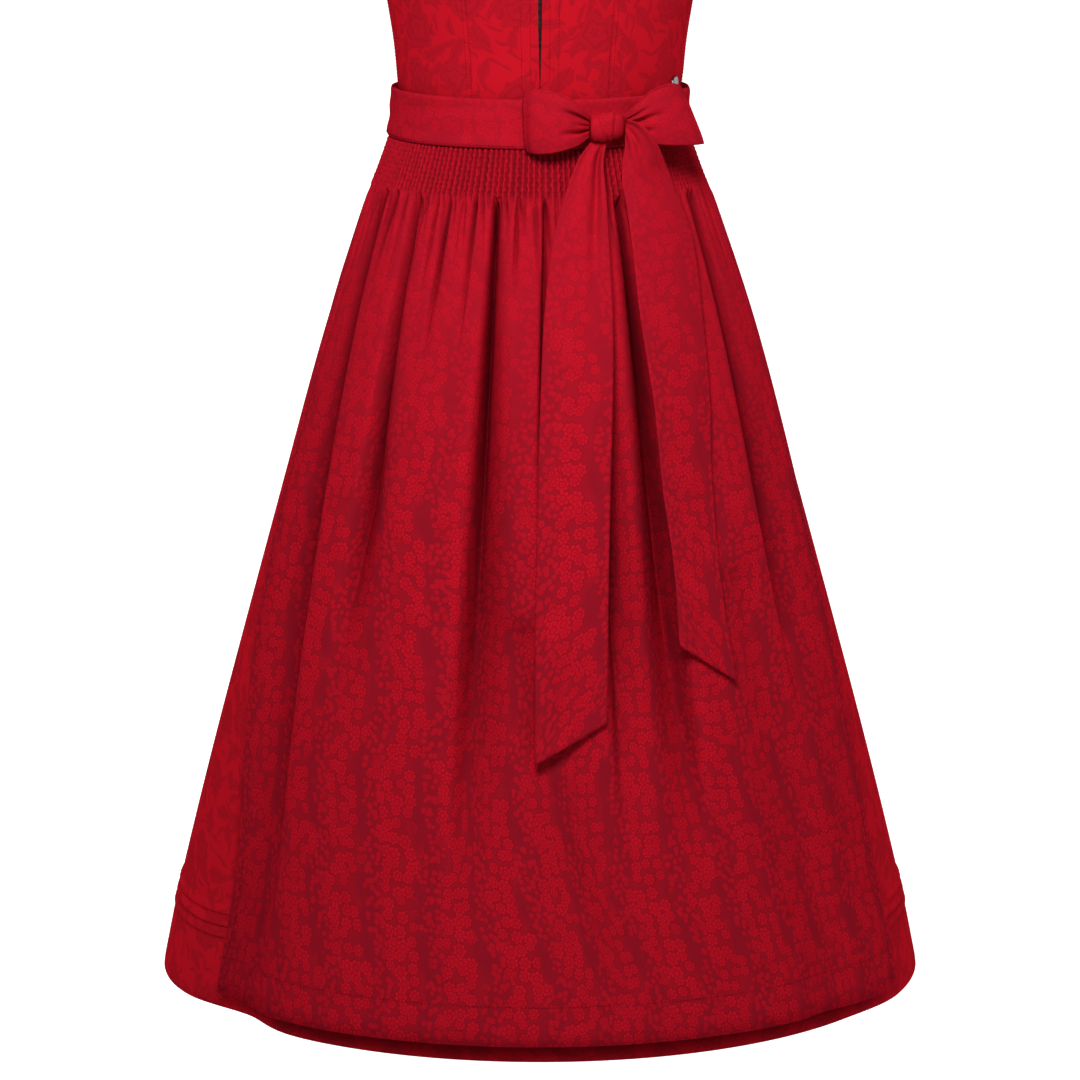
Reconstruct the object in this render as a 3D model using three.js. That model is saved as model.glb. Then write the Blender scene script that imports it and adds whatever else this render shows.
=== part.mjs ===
// A dirndl as it is worn: a sleeveless bodice with a front zip and panel seams, a long flared
// skirt with three tucks above its hem, and an apron with a smocked top, a waistband and a tie
// that goes round the waist to a bow with two tails on the wearer's left front.
//
// Millimetres, +Z up. The front faces -Y and +X is the wearer's left. The origin lies midway
// between the two shoulder straps, at the height of the shoulders that carry them.
// Every piece of cloth is a closed wall between an outer and an inner grid of points. Angles go
// round the body from the centre front (0) through the wearer's left side (90) to the back (180).

import * as THREE from 'three';

// ---------------------------------------------------------------- driving dimensions

const CLOTH = 1.4;                 // thickness of a lined bodice or skirt wall
const TIE_CLOTH = 1.2;             // thickness of the doubled tie and band
const SEAM_GAP = 0.3;              // clearance between two pieces that are sewn together
const WAIST_Z = -400;              // waist seam
const HEM_Z = -1167;               // skirt hem
const BAND = { top: -379, bottom: -421, tieReach: 1.9 };
const SMOCK = { bottom: -460.5, pleats: 80, relief: 1.7 };
const APRON = { hem: -1149, gathers: 44, gatherDepth: 1.9, gatherFade: 0.11 };
const SKIRT_GATHERS = { depth: 1.3, fade: 0.13 };
// The skirt lies back behind the apron's folds, between these angles at the top and lower down
const UNDER_APRON = { depth: 34, inner: [60, 52], outer: [76, 68], atHem: 0.2 };
const HEM_DENT = { angle: -53, depth: 15, wide: 14, steep: 8 };        // a broad hollow in skirt and apron
const STAND_OFF = { band: 5.6, top: 4.2, low: 8.5, from: -465, to: -900, flare: 4.5, flareFrom: -1000 };
const FOLD_FORM = { closed: 0.34, open: 1.25, openBy: 0.65, steepLean: 0.62, gentleLean: 0.5, fill: 0.86 };
const TUCK = { lowerEdges: [58, 67.5, 78], depth: 8.5, relief: 1.5, step: 0.5 };

// Seams of the bodice, as angles on the wearer's left; the right side mirrors them
const PRINCESS_FRONT = 29;
const SIDE_SEAM = 90;
const PRINCESS_BACK = 140;

const SCARLET = new THREE.Color(0.56, 0.012, 0.022);
const CRIMSON = new THREE.Color(0.47, 0.012, 0.026);
const DARK_RED = new THREE.Color(0.1, 0.008, 0.014);
const STEEL = new THREE.Color(0.55, 0.57, 0.58);

const ZIP = { bottom: -396, top: -197, tapeHalfWidth: 11, tape: 0.8, chainHalfWidth: 2.4, chain: 1.2 };
const ZIP_GAP = { waist: 0.15, chest: 1.7, slider: 5.4 };      // half the opening between the fronts
const SLIDER = { bottom: -207, top: -197, halfWidth: 4.6, seat: 0.8 };
const LUG = { inner: 1.9, width: 1.3, height: 4, depth: 3 };
const PULL = { neckHalfWidth: 1.55, halfWidth: 3.4, thickness: 1.8, drop: 23, shoulder: 5.2, head: 0.9 };
const PIVOT = { y: -129.9, z: -201.5 };                        // the pull tab's hinge, along X
const TAG = { angle: 68.8, z: -373.5, radius: 6.5, thickness: 1.2 };

// Outline of the worn bodice: half width, depth before and behind the side seams
const TORSO = [
  { z: -400, side: 120.5, front: 94.5, back: 92 },
  { z: -379, side: 123.3, front: 97.5, back: 94 },
  { z: -340, side: 127, front: 102, back: 97 },
  { z: -305, side: 132.4, front: 108, back: 100 },
  { z: -255, side: 141, front: 117, back: 103 },
  { z: -205, side: 147, front: 125, back: 105 },
  { z: -160, side: 148, front: 122, back: 106 },
  { z: -110, side: 144, front: 109, back: 105 },
  { z: -60, side: 138, front: 96, back: 101 },
];
const BUST = { angle: 34, z: -208, reach: 17, halfAngle: 22, halfHeight: 46 };

// Outline of the skirt
const SKIRT = [
  { z: -400, side: 122, front: 96.5, back: 94 },
  { z: -421, side: 127.6, front: 101, back: 99 },
  { z: -444, side: 136.5, front: 109.5, back: 107 },
  { z: -480, side: 151.5, front: 123.5, back: 120 },
  { z: -586, side: 187, front: 157, back: 150 },
  { z: -729, side: 227, front: 196, back: 187 },
  { z: -948, side: 286.5, front: 258, back: 243 },
  { z: -1100, side: 324.5, front: 300, back: 281 },
  { z: -1167, side: 338.5, front: 317, back: 297 },
];

// Waistband and tie: the band's outer face
const BAND_RING = [
  { z: -379, side: 128.2, front: 102, back: 98.5 },
  { z: -400, side: 129, front: 103, back: 99.5 },
  { z: -421, side: 132, front: 105.5, back: 103 },
];

// Height of the bodice's top edge round the body
const TOP_EDGE = [
  { angle: 0, z: -192 },
  { angle: 12, z: -186 },
  { angle: 20, z: -165 },
  { angle: 28, z: -122 },
  { angle: 28.01, z: -122 },
  { angle: 50, z: -122 },
  { angle: 50.01, z: -122 },
  { angle: 62, z: -168 },
  { angle: 76, z: -190 },
  { angle: 90, z: -194 },
  { angle: 108, z: -184 },
  { angle: 122, z: -150 },
  { angle: 134, z: -104 },
  { angle: 134.01, z: -104 },
  { angle: 156, z: -104 },
  { angle: 156.01, z: -104 },
  { angle: 168, z: -124 },
  { angle: 180, z: -128 },
];

// Straps: angles of the inner and outer edge where they leave the top edge, and how far they
// lean over the body there (0 upright, 1 straight to the shoulder)
const STRAP = {
  front: { inner: 28, outer: 50, lean: 0.58 },
  back: { inner: 156, outer: 134, lean: 0.2 },
  shoulder: { inner: 68, outer: 118, slope: 9 },
};

// Side edges of the apron, as angles
const APRON_EDGE = [
  { t: 0, right: -84, left: 82 },
  { t: 0.2, right: -76, left: 80 },
  { t: 0.45, right: -72.5, left: 74.5 },
  { t: 0.7, right: -62.5, left: 68.5 },
  { t: 0.85, right: -58.3, left: 66 },
  { t: 1, right: -57.2, left: 64 },
];

// Main folds of the front. Each is a trough that runs down from its top angle to its bottom
// angle, fades out between fade and end, and is steep on one side: +1 the wearer's left.
const FRONT_FOLDS = [
  { top: -74, bottom: -70, start: 0.0, fade: 0.1, end: 0.34, depth: 4, halfWidth: 9, steep: -1 },
  { top: -63, bottom: -46, start: 0.0, fade: 0.5, end: 1.1, depth: 34, halfWidth: 15, steep: 1 },
  { top: -56, bottom: -50, start: 0.0, fade: 0.03, end: 0.16, depth: 12, halfWidth: 8, steep: 1 },
  { top: -45, bottom: -37, start: 0.0, fade: 0.32, end: 0.66, depth: 27, halfWidth: 14, steep: -1 },
  { top: -40.5, bottom: -62, start: 0.0, fade: 0.03, end: 0.14, depth: 10, halfWidth: 6, steep: 1 },
  { top: -31.5, bottom: -30, start: 0.0, fade: 0.05, end: 0.22, depth: 12, halfWidth: 8, steep: -1 },
  { top: -21.5, bottom: -21, start: 0.0, fade: 0.05, end: 0.2, depth: 11, halfWidth: 7, steep: 1 },
  { top: -14.5, bottom: -12, start: 0.0, fade: 0.48, end: 0.92, depth: 31, halfWidth: 16, steep: -1 },
  { top: 1.5, bottom: -2.5, start: 0.0, fade: 0.14, end: 0.42, depth: 15, halfWidth: 9, steep: -1 },
  { top: 17, bottom: 13, start: 0.1, fade: 0.46, end: 0.8, depth: 29, halfWidth: 13, steep: -1 },
  { top: 27.5, bottom: 26.5, start: 0.0, fade: 0.5, end: 0.86, depth: 34, halfWidth: 14, steep: 1 },
  { top: 41, bottom: 40, start: 0.0, fade: 0.08, end: 0.3, depth: 11, halfWidth: 8, steep: 1 },
  { top: 59.5, bottom: 51, start: 0.0, fade: 0.38, end: 0.7, depth: 30, halfWidth: 15, steep: -1 },
  { top: 70, bottom: 68, start: 0.0, fade: 0.05, end: 0.22, depth: 5, halfWidth: 8, steep: -1 },
  { top: -22, bottom: 14, start: 0.5, fade: 0.8, end: 1.05, depth: 9, halfWidth: 24, steep: 0 },
  { top: 41, bottom: 46, start: 0.45, fade: 0.9, end: 1.3, depth: 6, halfWidth: 22, steep: 0 },
];

// Main folds of the sides and the back
const BACK_FOLDS = [
  { top: 104, bottom: 103, start: 0.0, fade: 0.5, end: 1.05, depth: 18, halfWidth: 15, steep: 1 },
  { top: 119, bottom: 121, start: 0.0, fade: 0.6, end: 1.2, depth: 24, halfWidth: 18, steep: -1 },
  { top: 134, bottom: 137, start: 0.0, fade: 0.35, end: 0.85, depth: 17, halfWidth: 14, steep: 1 },
  { top: 148, bottom: 150, start: 0.0, fade: 0.7, end: 1.3, depth: 25, halfWidth: 19, steep: -1 },
  { top: 164, bottom: 165, start: 0.0, fade: 0.45, end: 1.0, depth: 20, halfWidth: 15, steep: 1 },
  { top: 183, bottom: 181, start: 0.0, fade: 0.65, end: 1.2, depth: 24, halfWidth: 18, steep: 1 },
  { top: 199, bottom: 197, start: 0.0, fade: 0.4, end: 0.9, depth: 18, halfWidth: 14, steep: -1 },
  { top: 214, bottom: 212, start: 0.0, fade: 0.7, end: 1.25, depth: 25, halfWidth: 19, steep: 1 },
  { top: 229, bottom: 226, start: 0.0, fade: 0.4, end: 0.9, depth: 17, halfWidth: 15, steep: -1 },
  { top: 243, bottom: 241, start: 0.0, fade: 0.6, end: 1.15, depth: 22, halfWidth: 17, steep: 1 },
  { top: 258, bottom: 259, start: 0.0, fade: 0.45, end: 1.0, depth: 13, halfWidth: 15, steep: -1 },
];

// ---------------------------------------------------------------- small helpers

const { sin, cos, sqrt, abs, max, min, PI, hypot } = Math;
const radians = (degrees) => degrees * PI / 180;
const mix = (a, b, share) => a + (b - a) * share;
const clamp01 = (value) => min(1, max(0, value));
const smooth = (from, to, value) => {
  const share = clamp01((value - from) / (to - from));
  return share * share * (3 - 2 * share);
};
const bell = (value) => Math.exp(-value * value);

// Reads one named column of a table at a place between its rows, on a smooth curve
function along(table, key, column, place) {
  const rising = table[table.length - 1][key] > table[0][key] ? 1 : -1;
  let i = 0;
  while (i < table.length - 2 && (place - table[i + 1][key]) * rising > 0) i += 1;
  const row = (n) => table[min(table.length - 1, max(0, n))];
  const share = clamp01((place - row(i)[key]) / (row(i + 1)[key] - row(i)[key]));
  const span = row(i + 1)[key] - row(i)[key];
  const slope = (n) => {
    const run = row(n + 1)[key] - row(n - 1)[key];
    return (row(n + 1)[column] - row(n - 1)[column]) / run;
  };
  const h = share;
  return (2 * h ** 3 - 3 * h ** 2 + 1) * row(i)[column]
    + (h ** 3 - 2 * h ** 2 + h) * span * slope(i)
    + (-2 * h ** 3 + 3 * h ** 2) * row(i + 1)[column]
    + (h ** 3 - h ** 2) * span * slope(i + 1);
}

// A point of a ring at a height, moved out from it by so many millimetres
function onRing(table, angle, z, out = 0) {
  const a = radians(angle);
  const side = along(table, 'z', 'side', z);
  const depth = along(table, 'z', cos(a) >= 0 ? 'front' : 'back', z);
  const nx = sin(a) / side;
  const ny = -cos(a) / depth;
  const length = hypot(nx, ny);
  return new THREE.Vector3(side * sin(a) + out * nx / length, -depth * cos(a) + out * ny / length, z);
}

// ---------------------------------------------------------------- walls of cloth

// Joins an outer and an inner grid into one closed wall. Both have the same columns; the outer
// may have more rows. u goes to the right seen from outside, and v goes down.
function wallGeometry(columns, outerRows, innerRows, outer, inner) {
  const positions = [];
  const index = [];
  const grid = (rows, at) => rows.map((v) => columns.map((u) => {
    positions.push(...at(u, v).toArray());
    return positions.length / 3 - 1;
  }));
  const out = grid(outerRows, outer);
  const inn = grid(innerRows, inner);
  const last = columns.length - 1;
  const quads = (rows, turned) => {
    for (let j = 0; j < rows.length - 1; j += 1) {
      for (let i = 0; i < last; i += 1) {
        const [a, b, c, d] = [rows[j][i], rows[j][i + 1], rows[j + 1][i + 1], rows[j + 1][i]];
        index.push(...(turned ? [a, c, d, a, b, c] : [a, d, c, a, c, b]));
      }
    }
  };
  quads(out, false);
  quads(inn, true);
  const lastOut = out.length - 1;
  const lastIn = inn.length - 1;
  for (let i = 0; i < last; i += 1) {
    index.push(out[0][i], out[0][i + 1], inn[0][i + 1], out[0][i], inn[0][i + 1], inn[0][i]);
    index.push(out[lastOut][i], inn[lastIn][i + 1], out[lastOut][i + 1]);
    index.push(out[lastOut][i], inn[lastIn][i], inn[lastIn][i + 1]);
  }
  for (const [i, turned] of [[0, false], [last, true]]) {
    let j = 0;
    let k = 0;
    while (j < lastOut || k < lastIn) {
      const stepOuter = k === lastIn || (j < lastOut && outerRows[j + 1] <= innerRows[k + 1]);
      const [a, b, c] = stepOuter
        ? [inn[k][i], out[j + 1][i], out[j][i]]
        : [inn[k][i], inn[k + 1][i], out[j][i]];
      index.push(...(turned ? [a, c, b] : [a, b, c]));
      if (stepOuter) j += 1; else k += 1;
    }
  }
  const geometry = new THREE.BufferGeometry();
  geometry.setAttribute('position', new THREE.Float32BufferAttribute(positions, 3));
  geometry.setIndex(index);
  return geometry;
}

// Moves a surface's point along its normal
function offset(surface, distance) {
  const step = 1e-3;
  return (u, v) => {
    const [u0, u1] = [max(0, u - step), min(1, u + step)];
    const [v0, v1] = [max(0, v - step), min(1, v + step)];
    const across = surface(u1, v).sub(surface(u0, v));
    const down = surface(u, v1).sub(surface(u, v0));
    const normal = down.cross(across).normalize();
    return surface(u, v).addScaledVector(normal, distance);
  };
}

const steps = (count) => Array.from({ length: count + 1 }, (_, i) => i / count);

const group = new THREE.Group();
const CLOTH_LOOK = { roughness: 0.72, metalness: 0 };
const METAL_LOOK = { roughness: 0.3, metalness: 1 };

function addMesh(name, geometry, color, look = CLOTH_LOOK) {
  const mesh = new THREE.Mesh(geometry, new THREE.MeshStandardMaterial({ color, ...look }));
  mesh.name = name;
  group.add(mesh);
}

// A sheet between an outer and an inner face
function addSheet(name, outer, inner, columns, rows, color) {
  addMesh(name, wallGeometry(columns, rows, rows, outer, inner), color);
}

// ---------------------------------------------------------------- bodice

const seamTrim = (z, table) => (SEAM_GAP / 2) / along(table, 'z', 'side', z) * 180 / PI;

// Angle from the centre front, the same on both sides: 0 at the front and 180 at the back
const foldAngle = (angle) => abs(((angle + 180) % 360 + 360) % 360 - 180);

function bodicePoint(angle, z, out = 0) {
  const bust = BUST.reach * bell((foldAngle(angle) - BUST.angle) / BUST.halfAngle)
    * bell((z - BUST.z) / BUST.halfHeight);
  return onRing(TORSO, angle, z, out + bust);
}

const topEdge = (angle) => along(TOP_EDGE, 'angle', 'z', foldAngle(angle));

// Half the opening over the zip: closed near the waist, and wide round the slider
const zipGap = (z) => mix(ZIP_GAP.waist, ZIP_GAP.chest, smooth(-386, -300, z))
  + (ZIP_GAP.slider - ZIP_GAP.chest) * smooth(-254, -214, z);

function bodicePanel(name, from, to, columnCount) {
  const bottom = WAIST_Z + SEAM_GAP / 2;
  const edge = (angle, other, z) => {
    const inward = Math.sign(other - angle);
    const width = angle === 0 ? zipGap(z) * 180 / PI / along(TORSO, 'z', 'front', z) * 0.79
      : seamTrim(z, TORSO);
    return angle + inward * width;
  };
  const face = (out) => (u, v) => {
    const z = mix(topEdge(mix(from, to, u)), bottom, v);
    return bodicePoint(mix(edge(from, to, z), edge(to, from, z), u), z, out);
  };
  addSheet(name, face(0), face(-CLOTH), steps(columnCount), steps(7), SCARLET);
}

function buildBodice() {
  bodicePanel('bodice_front_left', 0, PRINCESS_FRONT, 7);
  bodicePanel('bodice_front_right', -PRINCESS_FRONT, 0, 7);
  bodicePanel('bodice_side_front_left', PRINCESS_FRONT, SIDE_SEAM, 7);
  bodicePanel('bodice_side_front_right', -SIDE_SEAM, -PRINCESS_FRONT, 7);
  bodicePanel('bodice_side_back_left', SIDE_SEAM, PRINCESS_BACK, 6);
  bodicePanel('bodice_side_back_right', -PRINCESS_BACK, -SIDE_SEAM, 6);
  bodicePanel('bodice_back', PRINCESS_BACK, 360 - PRINCESS_BACK, 8);
}

// A strap rises from the front top edge, crosses the shoulder and comes down to the back one
function strapFace(mirror, out) {
  const root = (end, w) => {
    const angle = mix(end.inner, end.outer, w);
    return bodicePoint(mirror * angle, topEdge(angle) + SEAM_GAP, out);
  };
  return (u, v) => {
    const w = mirror > 0 ? u : 1 - u;
    const { inner, outer, slope } = STRAP.shoulder;
    const height = CLOTH + out + slope * (0.5 - w);
    const shoulder = new THREE.Vector3(mirror * mix(inner, outer, w), 0, height);
    const end = v > 0.5 ? STRAP.front : STRAP.back;
    const rise = 1 - abs(2 * v - 1);
    const point = root(end, w);
    const over = end.lean * rise + (1 - end.lean) * rise * rise;
    return new THREE.Vector3(
      mix(point.x, shoulder.x, over),
      mix(point.y, shoulder.y, over),
      mix(point.z, shoulder.z, sin(rise * PI / 2)),
    );
  };
}

function buildStraps() {
  const strap = (name, mirror) => addSheet(
    name,
    strapFace(mirror, 0),
    strapFace(mirror, -CLOTH),
    steps(2),
    steps(12),
    SCARLET,
  );
  strap('strap_left', 1);
  strap('strap_right', -1);
}

// ---------------------------------------------------------------- front zip

// A strip behind the centre front, following the bodice's inner face
function zipStrip(name, halfWidth, behind, thickness) {
  const face = (out) => (u, v) => {
    const z = mix(ZIP.top, ZIP.bottom, v);
    const angle = mix(-halfWidth, halfWidth, u) / along(TORSO, 'z', 'side', z) * 180 / PI;
    return bodicePoint(angle, z, out);
  };
  addSheet(name, face(-behind), face(-behind - thickness), steps(4), steps(8), DARK_RED);
}

// Slider: a flat body on the chain with two lugs that hold the pull tab
function buildSlider() {
  const seatY = bodicePoint(0, SLIDER.bottom).y + CLOTH + 2 * SEAM_GAP - SLIDER.seat;
  const faceY = PIVOT.y + LUG.depth / 2 + 0.3;
  const { bottom, top, halfWidth } = SLIDER;
  const { inner, width, height, depth } = LUG;
  const outline = new THREE.Shape();
  outline.moveTo(-halfWidth, seatY);
  outline.lineTo(halfWidth, seatY);
  outline.lineTo(halfWidth, faceY);
  outline.lineTo(inner + width, faceY);
  outline.lineTo(inner + width, faceY - depth);
  outline.lineTo(inner, faceY - depth);
  outline.lineTo(inner, faceY);
  outline.lineTo(-inner, faceY);
  outline.lineTo(-inner, faceY - depth);
  outline.lineTo(-inner - width, faceY - depth);
  outline.lineTo(-inner - width, faceY);
  outline.lineTo(-halfWidth, faceY);
  outline.closePath();
  const geometry = new THREE.ExtrudeGeometry(outline, { depth: top - bottom, bevelEnabled: false });
  geometry.translate(0, 0, bottom);
  addMesh('zip_slider', geometry, STEEL, METAL_LOOK);
}

// Pull tab: a flat plate that hangs from its neck between the lugs
function buildPullTab() {
  const { neckHalfWidth, halfWidth, thickness, drop, shoulder, head } = PULL;
  const outline = new THREE.Shape();
  outline.moveTo(-neckHalfWidth, head);
  outline.lineTo(-neckHalfWidth, -shoulder);
  outline.lineTo(-halfWidth, -shoulder - 2);
  outline.lineTo(-halfWidth, -drop + halfWidth);
  outline.absarc(0, -drop + halfWidth, halfWidth, PI, 2 * PI, false);
  outline.lineTo(halfWidth, -shoulder - 2);
  outline.lineTo(neckHalfWidth, -shoulder);
  outline.lineTo(neckHalfWidth, head);
  outline.closePath();
  const geometry = new THREE.ExtrudeGeometry(outline, {
    depth: thickness,
    bevelEnabled: false,
    curveSegments: 10,
  });
  geometry.translate(0, 0, -thickness / 2);
  geometry.rotateX(PI / 2);
  geometry.translate(0, PIVOT.y, PIVOT.z);
  addMesh('zip_pull', geometry, STEEL, METAL_LOOK);
}

// A small plain metal disc on the bodice, above the band on the wearer's left
function buildTag() {
  const geometry = new THREE.CylinderGeometry(TAG.radius, TAG.radius, TAG.thickness, 24);
  const across = bodicePoint(TAG.angle + 2, TAG.z).sub(bodicePoint(TAG.angle - 2, TAG.z));
  const up = bodicePoint(TAG.angle, TAG.z + 5).sub(bodicePoint(TAG.angle, TAG.z - 5));
  const outward = across.cross(up).normalize();
  const seat = bodicePoint(TAG.angle, TAG.z)
    .addScaledVector(outward, SEAM_GAP + TAG.thickness / 2);
  const turn = new THREE.Quaternion().setFromUnitVectors(new THREE.Vector3(0, 1, 0), outward);
  geometry.applyQuaternion(turn);
  geometry.translate(seat.x, seat.y, seat.z);
  addMesh('metal_tag', geometry, STEEL, METAL_LOOK);
}

function buildZip() {
  const chainBehind = CLOTH + 2 * SEAM_GAP;
  zipStrip('zip_chain', ZIP.chainHalfWidth, chainBehind, ZIP.chain);
  zipStrip('zip_tape', ZIP.tapeHalfWidth, chainBehind + ZIP.chain + SEAM_GAP, ZIP.tape);
}

// ---------------------------------------------------------------- skirt and apron cloth

// Depth of one fold's trough at an angle and a share of the way down
function trough(fold, angle, t, z) {
  const middle = mix(fold.top, fold.bottom, t);
  const arc = radians(angle - middle) * along(SKIRT, 'z', 'side', z);
  const opened = fold.halfWidth * mix(FOLD_FORM.closed, FOLD_FORM.open, smooth(0, FOLD_FORM.openBy, t));
  const onSteepSide = fold.steep * Math.sign(arc) > 0;
  const lean = onSteepSide ? FOLD_FORM.steepLean : 1 + FOLD_FORM.gentleLean * abs(fold.steep);
  const envelope = smooth(fold.start - 0.004, fold.start + 0.028, t)
    * (1 - smooth(fold.fade, fold.end, t));
  const depth = FOLD_FORM.fill * fold.depth * mix(0.5, 1, smooth(0, 0.2, t));
  return depth * envelope * bell(arc / (opened * lean));
}

function foldDepth(folds, angle, t, z) {
  return folds.reduce((sum, fold) => sum + trough(fold, angle, t, z), 0);
}

const apronShare = (z) => clamp01((SMOCK.bottom - z) / (SMOCK.bottom - APRON.hem));
const apronStandOff = (z) => (
  mix(STAND_OFF.top, STAND_OFF.low, smooth(STAND_OFF.from, STAND_OFF.to, z))
  + STAND_OFF.flare * smooth(STAND_OFF.flareFrom, APRON.hem, z)
);

function hemDent(angle, t) {
  const side = angle - HEM_DENT.angle;
  return HEM_DENT.depth * smooth(0.55, 1, t) * bell(side / (side > 0 ? HEM_DENT.steep : HEM_DENT.wide));
}

function apronPoint(angle, z, out = 0) {
  const t = apronShare(z);
  const sunk = foldDepth(FRONT_FOLDS, angle, t, z) + hemDent(angle, t);
  return onRing(SKIRT, angle, z, out + apronStandOff(z) - sunk);
}

function apronSurface(u, v) {
  const z = mix(SMOCK.bottom - SEAM_GAP, APRON.hem, v);
  const angle = mix(along(APRON_EDGE, 't', 'right', v), along(APRON_EDGE, 't', 'left', v), u);
  const gather = APRON.gatherDepth * (1 - smooth(0, APRON.gatherFade, v))
    * (cos(2 * PI * APRON.gathers * u) - 1) / 2;
  return apronPoint(angle, z, gather);
}

const skirtAngle = (angle) => ((angle + 90) % 360 + 360) % 360 - 90;

function skirtPoint(angle, z, out = 0) {
  const t = apronShare(z);
  const around = skirtAngle(angle);
  const lower = smooth(0.2, 0.6, t);
  const covered = 1 - smooth(mix(...UNDER_APRON.inner, lower), mix(...UNDER_APRON.outer, lower), abs(around));
  const shown = mix(1, UNDER_APRON.atHem, smooth(0.72, 1, t));
  const under = UNDER_APRON.depth * covered * smooth(-442, -515, z) * shown;
  const back = foldDepth(BACK_FOLDS, around, t, z) + foldDepth(BACK_FOLDS, around + 360, t, z);
  const hanging = smooth(WAIST_Z - 30, WAIST_Z - 110, z);
  return onRing(SKIRT, around, z, out - under - back * hanging - hemDent(around, t));
}

function skirtPanel(name, from, to, columnCount) {
  const trim = (z) => seamTrim(z, SKIRT);
  const gathers = columnCount / 2;
  const top = WAIST_Z - SEAM_GAP / 2;
  const surface = (relief) => (u, z) => {
    const angle = mix(from + trim(z), to - trim(z), u);
    const down = (top - z) / (top - HEM_Z);
    const gather = SKIRT_GATHERS.depth * (1 - smooth(0, SKIRT_GATHERS.fade, down))
      * (cos(2 * PI * gathers * u) - 1) / 2;
    return skirtPoint(angle, z, gather + relief);
  };
  const bodyRows = [0, 0.035, 0.1, 0.2, 0.33, 0.48, 0.64, 0.79];
  const aboveTucks = HEM_Z + max(...TUCK.lowerEdges) + TUCK.depth;
  const plain = [...bodyRows.map((share) => mix(top, HEM_Z, share)), aboveTucks];
  const rows = plain.map((z) => ({ z, relief: 0 }));
  for (const height of [...TUCK.lowerEdges].reverse()) {
    rows.push({ z: HEM_Z + height + TUCK.step, relief: TUCK.relief });
    rows.push({ z: HEM_Z + height, relief: 0 });
  }
  rows.push({ z: HEM_Z, relief: 0 });
  const reliefAt = new Map(rows.map((row) => [row.z, row.relief]));
  const outer = (u, v) => surface(reliefAt.get(-v))(u, -v);
  const wallSurface = (u, v) => surface(0)(u, mix(top, HEM_Z, v));
  const moved = offset(wallSurface, -CLOTH);
  const inner = (u, v) => moved(u, (top + v) / (top - HEM_Z));
  const outerRows = rows.map((row) => -row.z);
  const innerRows = [...plain, HEM_Z].map((z) => -z);
  addMesh(name, wallGeometry(steps(columnCount), outerRows, innerRows, outer, inner), SCARLET);
}

function buildSkirt() {
  skirtPanel('skirt_front', -90, 90, 40);
  skirtPanel('skirt_back_left', 90, 180, 28);
  skirtPanel('skirt_back_right', 180, 270, 28);
}

function buildApron() {
  const columns = steps(2 * APRON.gathers);
  const rows = [0, 0.03, 0.075, 0.13, 0.21, 0.31, 0.42, 0.54, 0.67, 0.8, 0.91, 1];
  addSheet('apron_panel', apronSurface, offset(apronSurface, -CLOTH), columns, rows, CRIMSON);
}

// Smocking: upright pleats raised over a plain inside
function smockRing(angle, z, out) {
  const share = (BAND.bottom - z) / (BAND.bottom - SMOCK.bottom);
  return onRing(SKIRT, angle, z, mix(STAND_OFF.band, apronStandOff(SMOCK.bottom), share) + out);
}

function buildSmocking() {
  const top = BAND.bottom - SEAM_GAP;
  const edges = APRON_EDGE[0];
  const columns = steps(2 * SMOCK.pleats);
  const outer = (u, v) => {
    const pleat = SMOCK.relief * (cos(2 * PI * SMOCK.pleats * u) - 1) / 2;
    const waisted = v > 0.2 && v < 0.9 ? 0.8 : 1;
    return smockRing(mix(edges.right, edges.left, u), mix(top, SMOCK.bottom, v), pleat * waisted);
  };
  const inner = (u, v) => smockRing(
    mix(edges.right, edges.left, u),
    mix(top, SMOCK.bottom, v),
    -SMOCK.relief - TIE_CLOTH,
  );
  const geometry = wallGeometry(columns, [0, 0.5, 1], [0, 1], outer, inner);
  addMesh('apron_smocking', geometry, CRIMSON);
}

// ---------------------------------------------------------------- waistband and tie

// A stretch of band round the waist, from one angle to another, standing off the band's ring
function bandStretch(name, from, to, standOff, columnCount) {
  const face = (out) => (u, v) => {
    const angle = mix(from, to, u);
    return onRing(BAND_RING, angle, mix(BAND.top, BAND.bottom, v), standOff(angle) + out);
  };
  addSheet(name, face(0), face(-TIE_CLOTH), steps(columnCount), [0, 0.5, 1], CRIMSON);
}

function buildBands() {
  const { right, left } = APRON_EDGE[0];
  bandStretch('apron_waistband', right, left, () => 0, 30);
  const lap = 8;
  const lapped = (angle) => BAND.tieReach * mix(1, 1.9, smooth(-168, -174, angle));
  bandStretch('tie_wrap_right', -180 - lap, KNOT.angle - 0.15, lapped, 40);
  bandStretch('tie_wrap_left', KNOT.angle + 0.15, 180, () => BAND.tieReach, 30);
}

// ---------------------------------------------------------------- bow

const KNOT = { x: 57.3, z: -401.5, halfWidth: 14.4, halfHeight: 12.6, depth: 22, clear: 0.5, angle: 26.2 };

// Face of the tie where the bow lies on it
const tieFace = (x, z) => {
  const table = BAND_RING;
  const side = along(table, 'z', 'side', z) + BAND.tieReach;
  const front = along(table, 'z', 'front', z) + BAND.tieReach;
  return -front * sqrt(max(0, 1 - (x / side) ** 2));
};

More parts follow.
